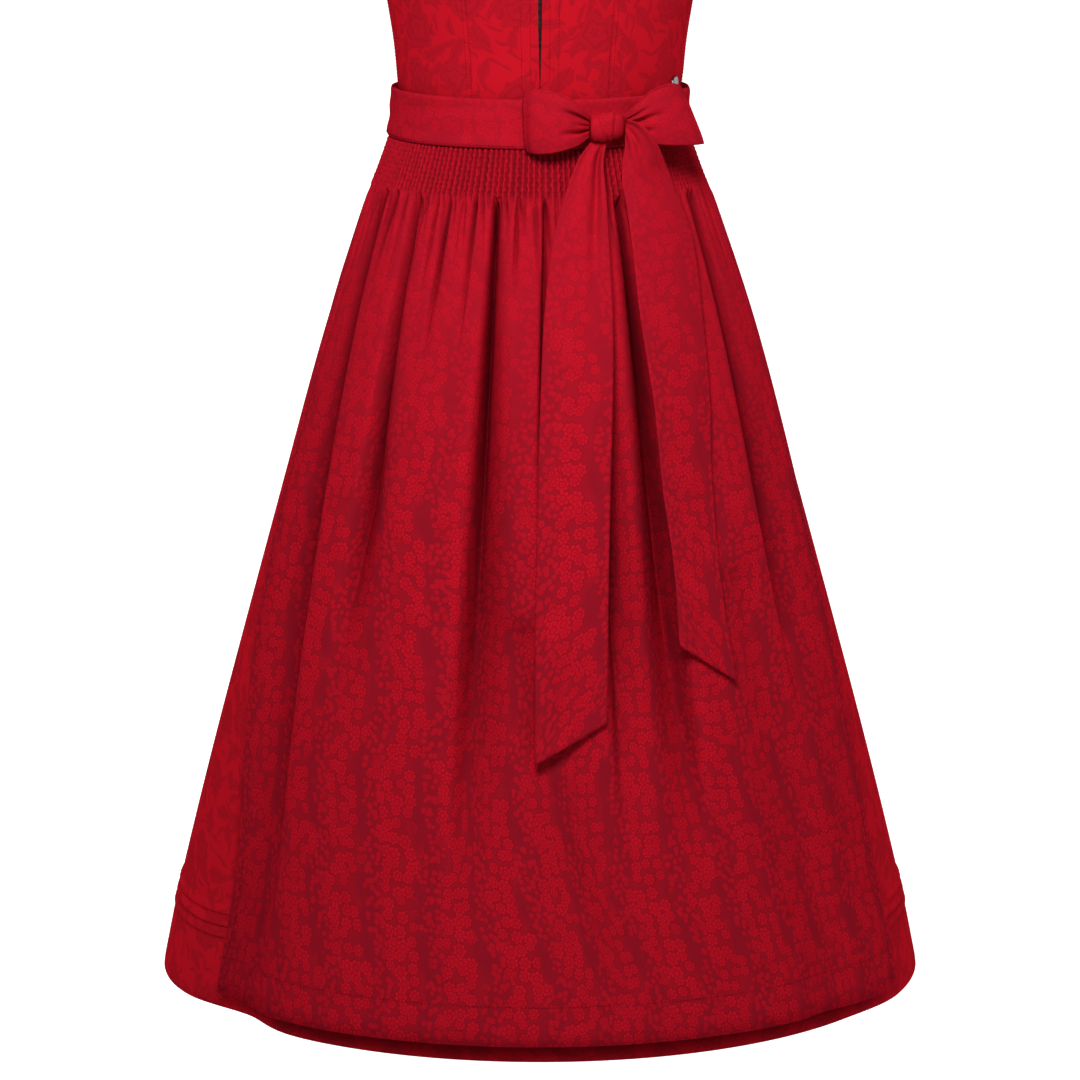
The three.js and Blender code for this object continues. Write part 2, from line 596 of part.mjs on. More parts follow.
// Knot: a short band wound over the bow from top to bottom, with a narrower fold beside it
function buildKnot() {
  const turns = 16;
  const shares = [-1, -0.92, -0.7, -0.4, 0, 0.3, 0.42, 0.54, 0.75, 0.92, 1];
  const power = (value, exponent) => Math.sign(value) * abs(value) ** exponent;
  const positions = [];
  const index = [];
  for (const across of shares) {
    const round = sqrt(1 - abs(across) ** 5) * 0.5 + 0.5;
    const groove = 1 - 0.17 * bell((across - 0.42) / 0.1);
    const reach = round * groove * (1 - 0.12 * smooth(0.42, 0.6, across));
    const x = KNOT.x + KNOT.halfWidth * across;
    const middle = tieFace(x, KNOT.z) - KNOT.clear - KNOT.depth / 2;
    for (let i = 0; i < turns; i += 1) {
      const turn = 2 * PI * i / turns;
      const boxY = power(sin(turn), 0.75);
      const boxZ = power(cos(turn), 0.85);
      positions.push(
        x,
        middle - KNOT.depth / 2 * boxY * reach,
        KNOT.z + KNOT.halfHeight * boxZ * reach,
      );
    }
  }
  const lastRing = (shares.length - 1) * turns;
  for (const side of [-1, 1]) {
    const x = KNOT.x + KNOT.halfWidth * side;
    positions.push(x, tieFace(x, KNOT.z) - KNOT.clear - KNOT.depth / 2, KNOT.z);
  }
  const [startPole, endPole] = [shares.length * turns, shares.length * turns + 1];
  for (let i = 0; i < turns; i += 1) {
    const n = (i + 1) % turns;
    for (let j = 0; j < shares.length - 1; j += 1) {
      const [a, b, c, d] = [j * turns + i, j * turns + n, (j + 1) * turns + n, (j + 1) * turns + i];
      index.push(a, b, c, a, c, d);
    }
    index.push(startPole, n, i, endPole, lastRing + i, lastRing + n);
  }
  const geometry = new THREE.BufferGeometry();
  geometry.setAttribute('position', new THREE.Float32BufferAttribute(positions, 3));
  geometry.setIndex(index);
  addMesh('bow_knot', geometry, CRIMSON);
}

// Bow loops: front and back layer of the folded tie, from the knot to the outer fold
const LEFT_LOOP = [
  { s: 0, x: 72.2, front: -102.4, back: -99.4, z: -401, half: 8.5, lean: 0 },
  { s: 0.2, x: 83, front: -108.5, back: -96.5, z: -398.5, half: 15.5, lean: 1 },
  { s: 0.45, x: 99, front: -105, back: -86, z: -394.6, half: 22.6, lean: 3 },
  { s: 0.75, x: 118, front: -94, back: -75, z: -393.6, half: 25.6, lean: 6.5 },
  { s: 1, x: 131.6, front: -81, back: -73, z: -394.8, half: 25.4, lean: 10.4 },
];
const RIGHT_LOOP = [
  { s: 0, x: 42.3, front: -109.5, back: -105.5, z: -401, half: 9, lean: 0 },
  { s: 0.2, x: 33, front: -118, back: -106.5, z: -399.5, half: 17, lean: -1 },
  { s: 0.5, x: 16, front: -123.5, back: -107.5, z: -397.5, half: 24, lean: -2 },
  { s: 0.8, x: -2.5, front: -120, back: -107.6, z: -396.5, half: 27, lean: -1 },
  { s: 1, x: -14.5, front: -113.5, back: -108.5, z: -397, half: 26, lean: 1 },
];

function loopSurface(table, sideSign) {
  return (u, v) => {
    const run = sideSign > 0 ? u : 1 - u;
    const onFront = run < 0.5;
    const s = onFront ? run * 2 : (1 - run) * 2;
    const turn = smooth(0.86, 1, s);
    const height = 1 - 2 * v;
    const front = along(table, 's', 'front', s);
    const back = along(table, 's', 'back', s);
    const middle = (front + back) / 2;
    const y = mix(onFront ? front : back, middle, turn ** 2.5);
    const bulge = (1 - height * height) * 3 * smooth(0, 0.4, s) * (1 - turn) * (onFront ? -1 : 0);
    const x = along(table, 's', 'x', s) - along(table, 's', 'lean', s) * height;
    return new THREE.Vector3(x, y + bulge, along(table, 's', 'z', s) + along(table, 's', 'half', s) * height);
  };
}

function buildLoops() {
  const columns = [0, 0.1, 0.2, 0.3, 0.4, 0.455, 0.485, 0.5, 0.515, 0.545, 0.6, 0.7, 0.8, 0.9, 1];
  const rows = steps(6);
  const loop = (name, surface) => {
    addSheet(name, surface, offset(surface, -TIE_CLOTH), columns, rows, CRIMSON);
  };
  loop('bow_loop_left', loopSurface(LEFT_LOOP, 1));
  loop('bow_loop_right', loopSurface(RIGHT_LOOP, -1));
}

// Face of the skirt's ring with no folds, at a place seen from the front
const plainFront = (x, z) => {
  const side = along(SKIRT, 'z', 'side', z) + apronStandOff(z);
  const front = along(SKIRT, 'z', 'front', z) + apronStandOff(z);
  return -front * sqrt(max(0.02, 1 - (x / side) ** 2));
};

// Tails, from the knot down: the two long edges seen from the front, and how far each stands
// before the apron's plain face. Right and left are the wearer's.
const TAIL_RIGHT = [
  { s: 0, rightX: 43, rightZ: -414.4, rightLift: 12, leftX: 57, leftZ: -414.4, leftLift: 13.5 },
  { s: 0.03, rightX: 33, rightZ: -428, rightLift: 15, leftX: 54.5, leftZ: -431, leftLift: 16 },
  { s: 0.08, rightX: 22, rightZ: -455, rightLift: 11, leftX: 57, leftZ: -459, leftLift: 15 },
  { s: 0.15, rightX: 11, rightZ: -493, rightLift: 8, leftX: 59, leftZ: -494, leftLift: 13 },
  { s: 0.28, rightX: 3.5, rightZ: -555, rightLift: 6, leftX: 62.3, leftZ: -556, leftLift: 11 },
  { s: 0.42, rightX: 0.3, rightZ: -622, rightLift: 5.5, leftX: 62, leftZ: -622, leftLift: 11 },
  { s: 0.6, rightX: -2.5, rightZ: -712, rightLift: 5.5, leftX: 59.6, leftZ: -708, leftLift: 10 },
  { s: 0.8, rightX: -4.2, rightZ: -815, rightLift: 5.5, leftX: 57.8, leftZ: -798, leftLift: 8 },
  { s: 1, rightX: -4.6, rightZ: -921.5, rightLift: 5, leftX: 57, leftZ: -888, leftLift: 5.5 },
];
const TAIL_LEFT = [
  { s: 0, rightX: 71.9, rightZ: -409, rightLift: 22.1, leftX: 72.1, leftZ: -395, leftLift: 22.7 },
  { s: 0.03, rightX: 72, rightZ: -419, rightLift: 26, leftX: 84.5, leftZ: -397, leftLift: 42 },
  { s: 0.06, rightX: 70.5, rightZ: -428, rightLift: 23, leftX: 94.8, leftZ: -407, leftLift: 47 },
  { s: 0.095, rightX: 69.8, rightZ: -438, rightLift: 20, leftX: 102.7, leftZ: -421, leftLift: 41 },
  { s: 0.14, rightX: 70, rightZ: -449, rightLift: 18, leftX: 110, leftZ: -441, leftLift: 25 },
  { s: 0.2, rightX: 73.5, rightZ: -466, rightLift: 16, leftX: 121, leftZ: -468, leftLift: 16 },
  { s: 0.28, rightX: 78.5, rightZ: -500, rightLift: 16, leftX: 132, leftZ: -500, leftLift: 10 },
  { s: 0.4, rightX: 85, rightZ: -556, rightLift: 17, leftX: 139.5, leftZ: -556, leftLift: 7.5 },
  { s: 0.55, rightX: 97, rightZ: -630, rightLift: 19, leftX: 146, leftZ: -630, leftLift: 7 },
  { s: 0.7, rightX: 104, rightZ: -697, rightLift: 18, leftX: 147.5, leftZ: -695, leftLift: 7 },
  { s: 0.85, rightX: 113.5, rightZ: -762, rightLift: 13, leftX: 154, leftZ: -775, leftLift: 6.5 },
  { s: 1, rightX: 118.6, rightZ: -829.5, rightLift: 7, leftX: 168, leftZ: -864, leftLift: 6 },
];

function tailSurface(rows) {
  return (u, v) => {
    const read = (column) => along(rows, 's', column, v);
    const x = mix(read('rightX'), read('leftX'), u);
    const z = mix(read('rightZ'), read('leftZ'), u);
    const rounded = 5 * u * (1 - u) * smooth(0, 0.06, v) * (1 - smooth(0.3, 0.8, v));
    const lift = mix(read('rightLift'), read('leftLift'), u) + rounded;
    return new THREE.Vector3(x, plainFront(x, z) - lift, z);
  };
}

function buildTails() {
  const rows = [0, 0.03, 0.06, 0.095, 0.14, 0.2, 0.28, 0.4, 0.55, 0.7, 0.85, 1];
  const tail = (name, table) => {
    const surface = tailSurface(table);
    addSheet(name, surface, offset(surface, -TIE_CLOTH), steps(6), rows, CRIMSON);
  };
  tail('tail_right', TAIL_RIGHT);
  tail('tail_left', TAIL_LEFT);
}

// ---------------------------------------------------------------- assembly

buildBodice();
buildStraps();
buildZip();
buildSlider();
buildPullTab();
buildTag();
buildSkirt();
buildApron();
buildSmocking();
buildBands();
buildKnot();
buildLoops();
buildTails();

export default group;
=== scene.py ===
"""A dirndl as it is worn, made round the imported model.

Sizes are in millimetres and become metres when a mesh is made. Angles go round the body in
degrees, from the centre front (0) through the wearer's left side (90) to the back (180). Every
piece of cloth is a thin closed shell over a grid of points: rows run down the cloth and columns
run across it, to the right as seen from outside.
"""

import math

import bmesh
import bpy
import numpy as np
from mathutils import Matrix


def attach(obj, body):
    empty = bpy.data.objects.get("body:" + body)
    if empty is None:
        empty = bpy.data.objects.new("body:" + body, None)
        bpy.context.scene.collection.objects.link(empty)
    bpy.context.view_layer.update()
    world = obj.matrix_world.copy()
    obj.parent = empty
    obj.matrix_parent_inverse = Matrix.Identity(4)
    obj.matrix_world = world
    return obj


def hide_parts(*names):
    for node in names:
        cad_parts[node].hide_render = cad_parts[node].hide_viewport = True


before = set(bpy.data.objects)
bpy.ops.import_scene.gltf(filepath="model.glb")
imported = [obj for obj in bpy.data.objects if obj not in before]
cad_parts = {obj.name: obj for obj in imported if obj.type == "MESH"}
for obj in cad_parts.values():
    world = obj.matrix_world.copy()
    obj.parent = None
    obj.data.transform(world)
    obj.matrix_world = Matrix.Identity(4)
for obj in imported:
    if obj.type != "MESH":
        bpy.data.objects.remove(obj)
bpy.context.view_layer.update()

MM = 0.001
FULL_TURN = 2 * math.pi

# ---------------------------------------------------------------- driving dimensions

CLOTH = 1.4            # thickness of a lined bodice or skirt wall
TIE_CLOTH = 1.2        # thickness of the doubled tie and band
SEAM_GAP = 0.3         # clearance between two pieces that are sewn together
WAIST_Z = -400
HEM_Z = -1167
BAND_TOP, BAND_BOTTOM, TIE_REACH = -379, -421, 1.9
SMOCK_BOTTOM, SMOCK_PLEATS, SMOCK_RELIEF, SMOCK_ROWS = -460.5, 80, 2.9, 10
APRON_HEM, APRON_GATHERS, HEM_TURN = -1149, 44, 32
APRON_CUT_WIDTH, APRON_CUT_LENGTH = 820, 720    # the apron panel before it is gathered
TUCK_EDGES, TUCK_DEPTH, TUCK_RELIEF = (58, 67.5, 78), 8.5, 1.5
UNDER_DEPTH, UNDER_INNER, UNDER_OUTER, UNDER_AT_HEM = 34, (60, 52), (76, 68), 0.2
DENT_ANGLE, DENT_DEPTH, DENT_WIDE, DENT_STEEP = -53, 15, 14, 8
PRINCESS_FRONT, SIDE_SEAM, PRINCESS_BACK = 29, 90, 140
FLOWER_BAND = 54       # pitch of the apron cloth's flower bands
TWILL_PITCH = 1.1      # pitch of the weave's diagonal lines
MEAN_RADIUS, CLOTH_RADIUS, FRONT_RADIUS = 125, 128, 134    # turn angles into lengths of cloth
STITCH_WIDTH, STITCH_HEIGHT, STITCH_SHARE = 0.6, 0.36, 0.66    # share: of the pitch, in length
TOOTH_PITCH, TOOTH_LENGTH, TOOTH_HEIGHT = 1.4, 0.85, 2.2

ZIP_BOTTOM, ZIP_TOP, TAPE_HALF_WIDTH, TAPE, CHAIN = -396, -197, 11, 0.8, 1.2
SLIDER_BOTTOM, SLIDER_TOP, SLIDER_HALF_WIDTH, SLIDER_SEAT = -207, -197, 4.6, 0.8
LUG_INNER, LUG_WIDTH, LUG_DEPTH = 1.9, 1.3, 3
PULL_NECK, PULL_HALF_WIDTH, PULL_THICKNESS = 1.55, 3.4, 1.8
PULL_DROP, PULL_SHOULDER, PULL_HEAD = 23, 5.2, 0.9
PIVOT_Y, PIVOT_Z = -129.9, -201.5
TAG_ANGLE, TAG_Z, TAG_RADIUS, TAG_THICKNESS = 68.8, -373.5, 6.5, 1.2


def table(columns, *rows):
    """A table with named columns: a dict of arrays, one for each column."""
    names = columns.split()
    return {name: np.array([row[i] for row in rows], float) for i, name in enumerate(names)}


TORSO = table(
    "z side front back",
    (-400, 120.5, 94.5, 92),
    (-379, 123.3, 97.5, 94),
    (-340, 127, 102, 97),
    (-305, 132.4, 108, 100),
    (-255, 141, 117, 103),
    (-205, 147, 125, 105),
    (-160, 148, 122, 106),
    (-110, 144, 109, 105),
    (-60, 138, 96, 101),
)
BUST_ANGLE, BUST_Z, BUST_REACH, BUST_HALF_ANGLE, BUST_HALF_HEIGHT = 34, -208, 17, 22, 46

SKIRT = table(
    "z side front back",
    (-400, 122, 96.5, 94),
    (-421, 127.6, 101, 99),
    (-444, 136.5, 109.5, 107),
    (-480, 151.5, 123.5, 120),
    (-586, 187, 157, 150),
    (-729, 227, 196, 187),
    (-948, 286.5, 258, 243),
    (-1100, 324.5, 300, 281),
    (-1167, 338.5, 317, 297),
)

BAND_RING = table(
    "z side front back",
    (-379, 128.2, 102, 98.5),
    (-400, 129, 103, 99.5),
    (-421, 132, 105.5, 103),
)

TOP_EDGE = table(
    "angle z",
    (0, -192),
    (12, -186),
    (20, -165),
    (28, -122),
    (28.01, -122),
    (50, -122),
    (50.01, -122),
    (62, -168),
    (76, -190),
    (90, -194),
    (108, -184),
    (122, -150),
    (134, -104),
    (134.01, -104),
    (156, -104),
    (156.01, -104),
    (168, -124),
    (180, -128),
)

STRAP_ENDS = table(
    "inner outer lean",
    (28, 50, 0.58),
    (156, 134, 0.2),
)
SHOULDER_INNER, SHOULDER_OUTER, SHOULDER_SLOPE = 68, 118, 9

APRON_EDGE = table(
    "t right left",
    (0, -84, 82),
    (0.2, -76, 80),
    (0.45, -72.5, 74.5),
    (0.7, -62.5, 68.5),
    (0.85, -58.3, 66),
    (1, -57.2, 64),
)

# Each fold is a trough that runs down from its top angle to its bottom angle, fades out between
# fade and end, and is steep on one side: +1 the wearer's left
FOLD_COLUMNS = "top bottom start fade end depth half steep"
FRONT_FOLDS = table(
    FOLD_COLUMNS,
    (-74, -70, 0.0, 0.1, 0.34, 4, 9, -1),
    (-63, -46, 0.0, 0.5, 1.1, 34, 15, 1),
    (-56, -50, 0.0, 0.03, 0.16, 12, 8, 1),
    (-45, -37, 0.0, 0.32, 0.66, 27, 14, -1),
    (-40.5, -62, 0.0, 0.03, 0.14, 10, 6, 1),
    (-31.5, -30, 0.0, 0.05, 0.22, 12, 8, -1),
    (-21.5, -21, 0.0, 0.05, 0.2, 11, 7, 1),
    (-14.5, -12, 0.0, 0.48, 0.92, 31, 16, -1),
    (1.5, -2.5, 0.0, 0.14, 0.42, 15, 9, -1),
    (17, 13, 0.1, 0.46, 0.8, 29, 13, -1),
    (27.5, 26.5, 0.0, 0.5, 0.86, 34, 14, 1),
    (41, 40, 0.0, 0.08, 0.3, 11, 8, 1),
    (59.5, 51, 0.0, 0.38, 0.7, 30, 15, -1),
    (70, 68, 0.0, 0.05, 0.22, 5, 8, -1),
    (-22, 14, 0.5, 0.8, 1.05, 9, 24, 0),
    (41, 46, 0.45, 0.9, 1.3, 6, 22, 0),
)
# Short folds that run out soon below the smocking
SHORT_FOLDS = table(
    FOLD_COLUMNS,
    (-68, -66, 0.0, 0.02, 0.1, 6, 5, 1),
    (-50, -47, 0.0, 0.02, 0.12, 7, 5, 1),
    (-36, -34, 0.0, 0.03, 0.13, 8, 5, -1),
    (-26.5, -25.5, 0.0, 0.01, 0.09, 6, 5, 1),
    (-7.5, -7, 0.0, 0.03, 0.14, 9, 6, -1),
    (9, 8, 0.0, 0.02, 0.12, 8, 5, 1),
    (34, 33, 0.0, 0.03, 0.13, 8, 5, 1),
    (49, 48, 0.0, 0.02, 0.12, 7, 5, -1),
    (63, 62, 0.0, 0.03, 0.12, 7, 5, 1),
)
BACK_FOLDS = table(
    FOLD_COLUMNS,
    (104, 103, 0.0, 0.5, 1.05, 18, 15, 1),
    (119, 121, 0.0, 0.6, 1.2, 24, 18, -1),
    (134, 137, 0.0, 0.35, 0.85, 17, 14, 1),
    (148, 150, 0.0, 0.7, 1.3, 25, 19, -1),
    (164, 165, 0.0, 0.45, 1.0, 20, 15, 1),
    (183, 181, 0.0, 0.65, 1.2, 24, 18, 1),
    (199, 197, 0.0, 0.4, 0.9, 18, 14, -1),
    (214, 212, 0.0, 0.7, 1.25, 25, 19, 1),
    (229, 226, 0.0, 0.4, 0.9, 17, 15, -1),
    (243, 241, 0.0, 0.6, 1.15, 22, 17, 1),
    (258, 259, 0.0, 0.45, 1.0, 13, 15, -1),
)

# Bow loops, from the knot outwards: front and back layer, middle height and half height
LOOP_COLUMNS = "s x front back z half lean"
LEFT_LOOP = table(
    LOOP_COLUMNS,
    (0, 72.2, -102.4, -99.4, -401, 8.5, 0),
    (0.2, 83, -108.5, -96.5, -398.5, 15.5, 1),
    (0.45, 99, -105, -86, -394.6, 22.6, 3),
    (0.75, 118, -94, -75, -393.6, 25.6, 6.5),
    (1, 131.6, -81, -73, -394.8, 25.4, 10.4),
)
RIGHT_LOOP = table(
    LOOP_COLUMNS,
    (0, 42.3, -109.5, -105.5, -401, 9, 0),
    (0.2, 33, -118, -106.5, -399.5, 17, -1),
    (0.5, 16, -123.5, -107.5, -397.5, 24, -2),
    (0.8, -2.5, -120, -107.6, -396.5, 27, -1),
    (1, -14.5, -113.5, -108.5, -397, 26, 1),
)
# Creases that run out from the knot: share of the height, depth, half width, share of the length
LEFT_CREASES = ((0.5, 3.2, 0.1, 0.5), (0.1, 6.0, 0.13, 0.7), (-0.42, 4.6, 0.13, 0.5))
RIGHT_CREASES = ((0.46, 6.4, 0.12, 0.62), (0.05, 2.4, 0.09, 0.35), (-0.34, 6.6, 0.13, 0.55))
KNOT_X, KNOT_Z, KNOT_HALF_WIDTH, KNOT_HALF_HEIGHT = 57.3, -401.5, 14.4, 12.6
KNOT_DEPTH, KNOT_CLEAR = 22, 0.5

# Tails, from the knot down: both long edges seen from the front, and how far each stands
# before the apron's plain face. Right and left are the wearer's.
TAIL_COLUMNS = "s right_x right_z right_lift left_x left_z left_lift"
TAIL_RIGHT = table(
    TAIL_COLUMNS,
    (0, 43, -414.4, 12, 57, -414.4, 13.5),
    (0.03, 33, -428, 15, 54.5, -431, 16),
    (0.08, 22, -455, 11, 57, -459, 15),
    (0.15, 11, -493, 8, 59, -494, 13),
    (0.28, 3.5, -555, 6, 62.3, -556, 11),
    (0.42, 0.3, -622, 5.5, 62, -622, 11),
    (0.6, -2.5, -712, 5.5, 59.6, -708, 10),
    (0.8, -4.2, -815, 5.5, 57.8, -798, 8),
    (1, -4.6, -921.5, 5, 57, -888, 5.5),
)
TAIL_LEFT = table(
    TAIL_COLUMNS,
    (0, 71.9, -409, 22.1, 72.1, -395, 22.7),
    (0.03, 72, -419, 26, 84.5, -397, 42),
    (0.06, 70.5, -428, 23, 94.8, -407, 47),
    (0.095, 69.8, -438, 20, 102.7, -421, 41),
    (0.14, 70, -449, 18, 110, -441, 25),
    (0.2, 73.5, -466, 16, 121, -468, 16),
    (0.28, 78.5, -500, 16, 132, -500, 10),
    (0.4, 85, -556, 17, 139.5, -556, 7.5),
    (0.55, 97, -630, 19, 146, -630, 7),
    (0.7, 104, -697, 18, 147.5, -695, 7),
    (0.85, 113.5, -762, 13, 154, -775, 6.5),
    (1, 118.6, -829.5, 7, 168, -864, 6),
)

# ---------------------------------------------------------------- small helpers


def mix(a, b, share):
    return a + (b - a) * share


def smooth(start, end, value):
    share = np.clip((value - start) / (end - start), 0, 1)
    return share * share * (3 - 2 * share)


def bell(value):
    return np.exp(-value * value)


def scatter(number, seed=0.0):
    """A fixed unevenness from 0 to 1 for each whole number."""
    return np.mod(np.sin(number * 12.9898 + seed * 78.233 + 1.7) * 43758.5453, 1.0)


def along(rows, key, column, place):
    """Reads a column between a table's rows, on a smooth curve."""
    place = np.asarray(place, float)
    keys, values = rows[key], rows[column]
    if keys[-1] < keys[0]:
        keys, values = keys[::-1], values[::-1]
    last = len(keys) - 1
    i = np.clip(np.searchsorted(keys, place, side="right") - 1, 0, last - 1)
    low, high = np.maximum(i - 1, 0), np.minimum(i + 2, last)
    span = keys[i + 1] - keys[i]
    h = np.clip((place - keys[i]) / span, 0, 1)
    slope_a = (values[i + 1] - values[low]) / (keys[i + 1] - keys[low]) * span
    slope_b = (values[high] - values[i]) / (keys[high] - keys[i]) * span
    return ((2 * h**3 - 3 * h**2 + 1) * values[i] + (h**3 - 2 * h**2 + h) * slope_a
            + (-2 * h**3 + 3 * h**2) * values[i + 1] + (h**3 - h**2) * slope_b)


def on_ring(rows, angle, z, out=0.0):
    """Points of a ring at a height, moved out from it by so many millimetres."""
    a = np.radians(angle)
    side = along(rows, "z", "side", z)
    depth = np.where(np.cos(a) >= 0, along(rows, "z", "front", z), along(rows, "z", "back", z))
    nx, ny = np.sin(a) / side, -np.cos(a) / depth
    length = np.hypot(nx, ny)
    x = side * np.sin(a) + out * nx / length
    y = -depth * np.cos(a) + out * ny / length
    return np.stack(np.broadcast_arrays(x, y, z), axis=-1)


def normals(points):
    """Outward normals of a grid of points."""
    down, across = np.gradient(points, axis=0), np.gradient(points, axis=1)
    n = np.cross(down, across)
    return n / np.maximum(np.linalg.norm(n, axis=-1, keepdims=True), 1e-9)


def grid(rows, columns):
    """Shares v down and u across, for a grid with so many steps each way."""
    v, u = np.meshgrid(np.linspace(0, 1, rows + 1), np.linspace(0, 1, columns + 1), indexing="ij")
    return v, u


# ---------------------------------------------------------------- shader maths


class Wire:
    """A shader socket that takes part in Python expressions."""

    def __init__(self, tree, socket):
        self.tree, self.socket = tree, socket

    def math(self, operation, *others, flip=False):
        values = [self, *others]
        if flip:
            values.reverse()
        return self.tree.node("ShaderNodeMath", {"operation": operation}, dict(enumerate(values)))

    def __add__(self, other):
        return self.math("ADD", other)

    def __sub__(self, other):
        return self.math("SUBTRACT", other)

    def __rsub__(self, other):
        return self.math("SUBTRACT", other, flip=True)

    def __mul__(self, other):
        return self.math("MULTIPLY", other)

    def __truediv__(self, other):
        return self.math("DIVIDE", other)

    __radd__, __rmul__ = __add__, __mul__

    def sin(self):
        return self.math("SINE")

    def cos(self):
        return self.math("COSINE")

    def abs(self):
        return self.math("ABSOLUTE")

    def sqrt(self):
        return self.math("SQRT")

    def most(self, other):
        return self.math("MAXIMUM", other)

    def atan2(self, other):
        return self.math("ARCTAN2", other)

    def rise(self, start, end):
        """0 below start, 1 above end, smooth between; falls instead where start is above end."""
        if start > end:
            return 1 - self.rise(end, start)
        return self.tree.node(
            "ShaderNodeMapRange",
            {"interpolation_type": "SMOOTHSTEP"},
            {"Value": self, "From Min": start, "From Max": end},
        )


class Tree:
    """A material's node tree."""

    def __init__(self, material):
        self.material = material
        self.nodes, self.links = material.node_tree.nodes, material.node_tree.links

    def node(self, kind, settings=None, values=None, out=0):
        """A node of a kind, with its settings and the values or links of its sockets."""
        made = self.nodes.new(kind)
        for name, value in (settings or {}).items():
            setattr(made, name, value)
        for name, value in (values or {}).items():
            if isinstance(value, Wire):
                self.links.new(value.socket, made.inputs[name])
            else:
                made.inputs[name].default_value = value
        if isinstance(out, (list, tuple)):
            return [Wire(self, made.outputs[name]) for name in out]
        return Wire(self, made.outputs[out])

    def vector(self, x, y, z=0.0):
        return self.node("ShaderNodeCombineXYZ", {}, {"X": x, "Y": y, "Z": z})

    def split(self, vector):
        return self.node("ShaderNodeSeparateXYZ", {}, {"Vector": vector}, out=("X", "Y", "Z"))

    def noise(self, vector, scale, detail=2.0):
        """Noise round 0, between about -0.5 and 0.5."""
        values = {"Vector": vector, "Scale": scale, "Detail": detail}
        return self.node("ShaderNodeTexNoise", {}, values, out="Fac") - 0.5

    def blend(self, share, a, b):
        """A colour between two colours."""
        paint = self.node("ShaderNodeMix", {"data_type": "RGBA"}, {0: share, 6: a, 7: b}, out=2)
        return paint

    def cloth_place(self):
        """Place on the cloth in millimetres: across it and down it."""
        place = self.node("ShaderNodeUVMap", {"uv_map": "cloth"})
        u, v, _ = self.split(place)
        return u * 1000, v * 1000

    def painted_fold_shade(self, colour, deep):
        """Paints shade into a colour where the cloth lies deep in a fold: the shade attribute
        blends it towards a dark colour.
        """
        settings = {"attribute_name": "shade"}
        return self.blend(self.node("ShaderNodeAttribute", settings, {}, out="Fac"), colour, deep)

    def finish(self, **sockets):
        shader = self.nodes["Principled BSDF"]
        for name, value in sockets.items():
            socket = shader.inputs[name.replace("_", " ")]
            if isinstance(value, Wire):
                self.links.new(value.socket, socket)
            else:
                socket.default_value = value
        return self.material


def new_tree(name):
    material = bpy.data.materials.new(name)
    material.use_nodes = True
    return Tree(material)


def rgb(red, green, blue):
    """A linear colour from one given as it looks, 0 to 255."""
    def linear(level):
        share = level / 255
        return share / 12.92 if share <= 0.04045 else ((share + 0.055) / 1.055) ** 2.4
    return (linear(red), linear(green), linear(blue), 1.0)


def scattered(tree, u, v, cell, evenness, shift=0.0):
    """The nearest of many scattered middles: offset from it, its place and random shares."""
    place = tree.vector(u / cell + shift, v / cell + shift)
    settings = {"voronoi_dimensions": "2D", "feature": "F1"}
    values = {"Vector": place, "Scale": 1.0, "Randomness": evenness}
    middle, colour = tree.node("ShaderNodeTexVoronoi", settings, values, out=("Position", "Color"))
    mx, my, _ = tree.split(middle)
    px, py, _ = tree.split(place)
    share_a, share_b, share_c = tree.split(colour)
    return (px - mx) * cell, (py - my) * cell, mx * cell, my * cell, (share_a, share_b, share_c)


def daisies(tree, u, v, cell, radius, petals, evenness, shift=0.0):
    """Small round flowers: (petals, dark lines, each flower's middle across and down)."""
    dx, dy, mx, my, (turn, size, _) = scattered(tree, u, v, cell, evenness, shift)
    r = (dx * dx + dy * dy).sqrt()
    lobes = (dx.atan2(dy) * petals + turn * FULL_TURN).cos()
    reach = radius * (size * 0.4 + 0.8)
    edge = reach * (lobes * 0.09 + 0.9)
    inside = (r - edge).rise(0.5, -0.4)
    rim = (r - edge).abs().rise(0.8, 0.25) * 0.7
    slits = lobes.rise(-0.45, -0.95) * (r / reach).rise(0.42, 0.7) * inside
    curl = ((r / reach) - 0.4).abs().rise(0.12, 0.04)
    heart = (r / reach).rise(0.18, 0.08)
    return inside, rim.most(slits * 0.7).most(curl * inside * 0.8).most(heart * 0.5), mx, my


def weave(tree, u, v, colour, raised, slant, twill_depth, strength, roughness):
    """Finishes a jacquard: twill and grain over what its pattern raises."""
    twill = ((u + v * slant) * (FULL_TURN / TWILL_PITCH)).sin() * 0.5
    grain = tree.noise(tree.vector(u, v * 0.35), 1.6, 2.0)
    height = raised + twill * twill_depth + grain * 0.5
    values = {"Strength": strength, "Distance": 0.0004, "Height": height}
    return tree.finish(
        Base_Color=colour,
        Roughness=roughness + grain * 0.12,
        Normal=tree.node("ShaderNodeBump", {}, values),
        Specular_IOR_Level=0.0,
    )


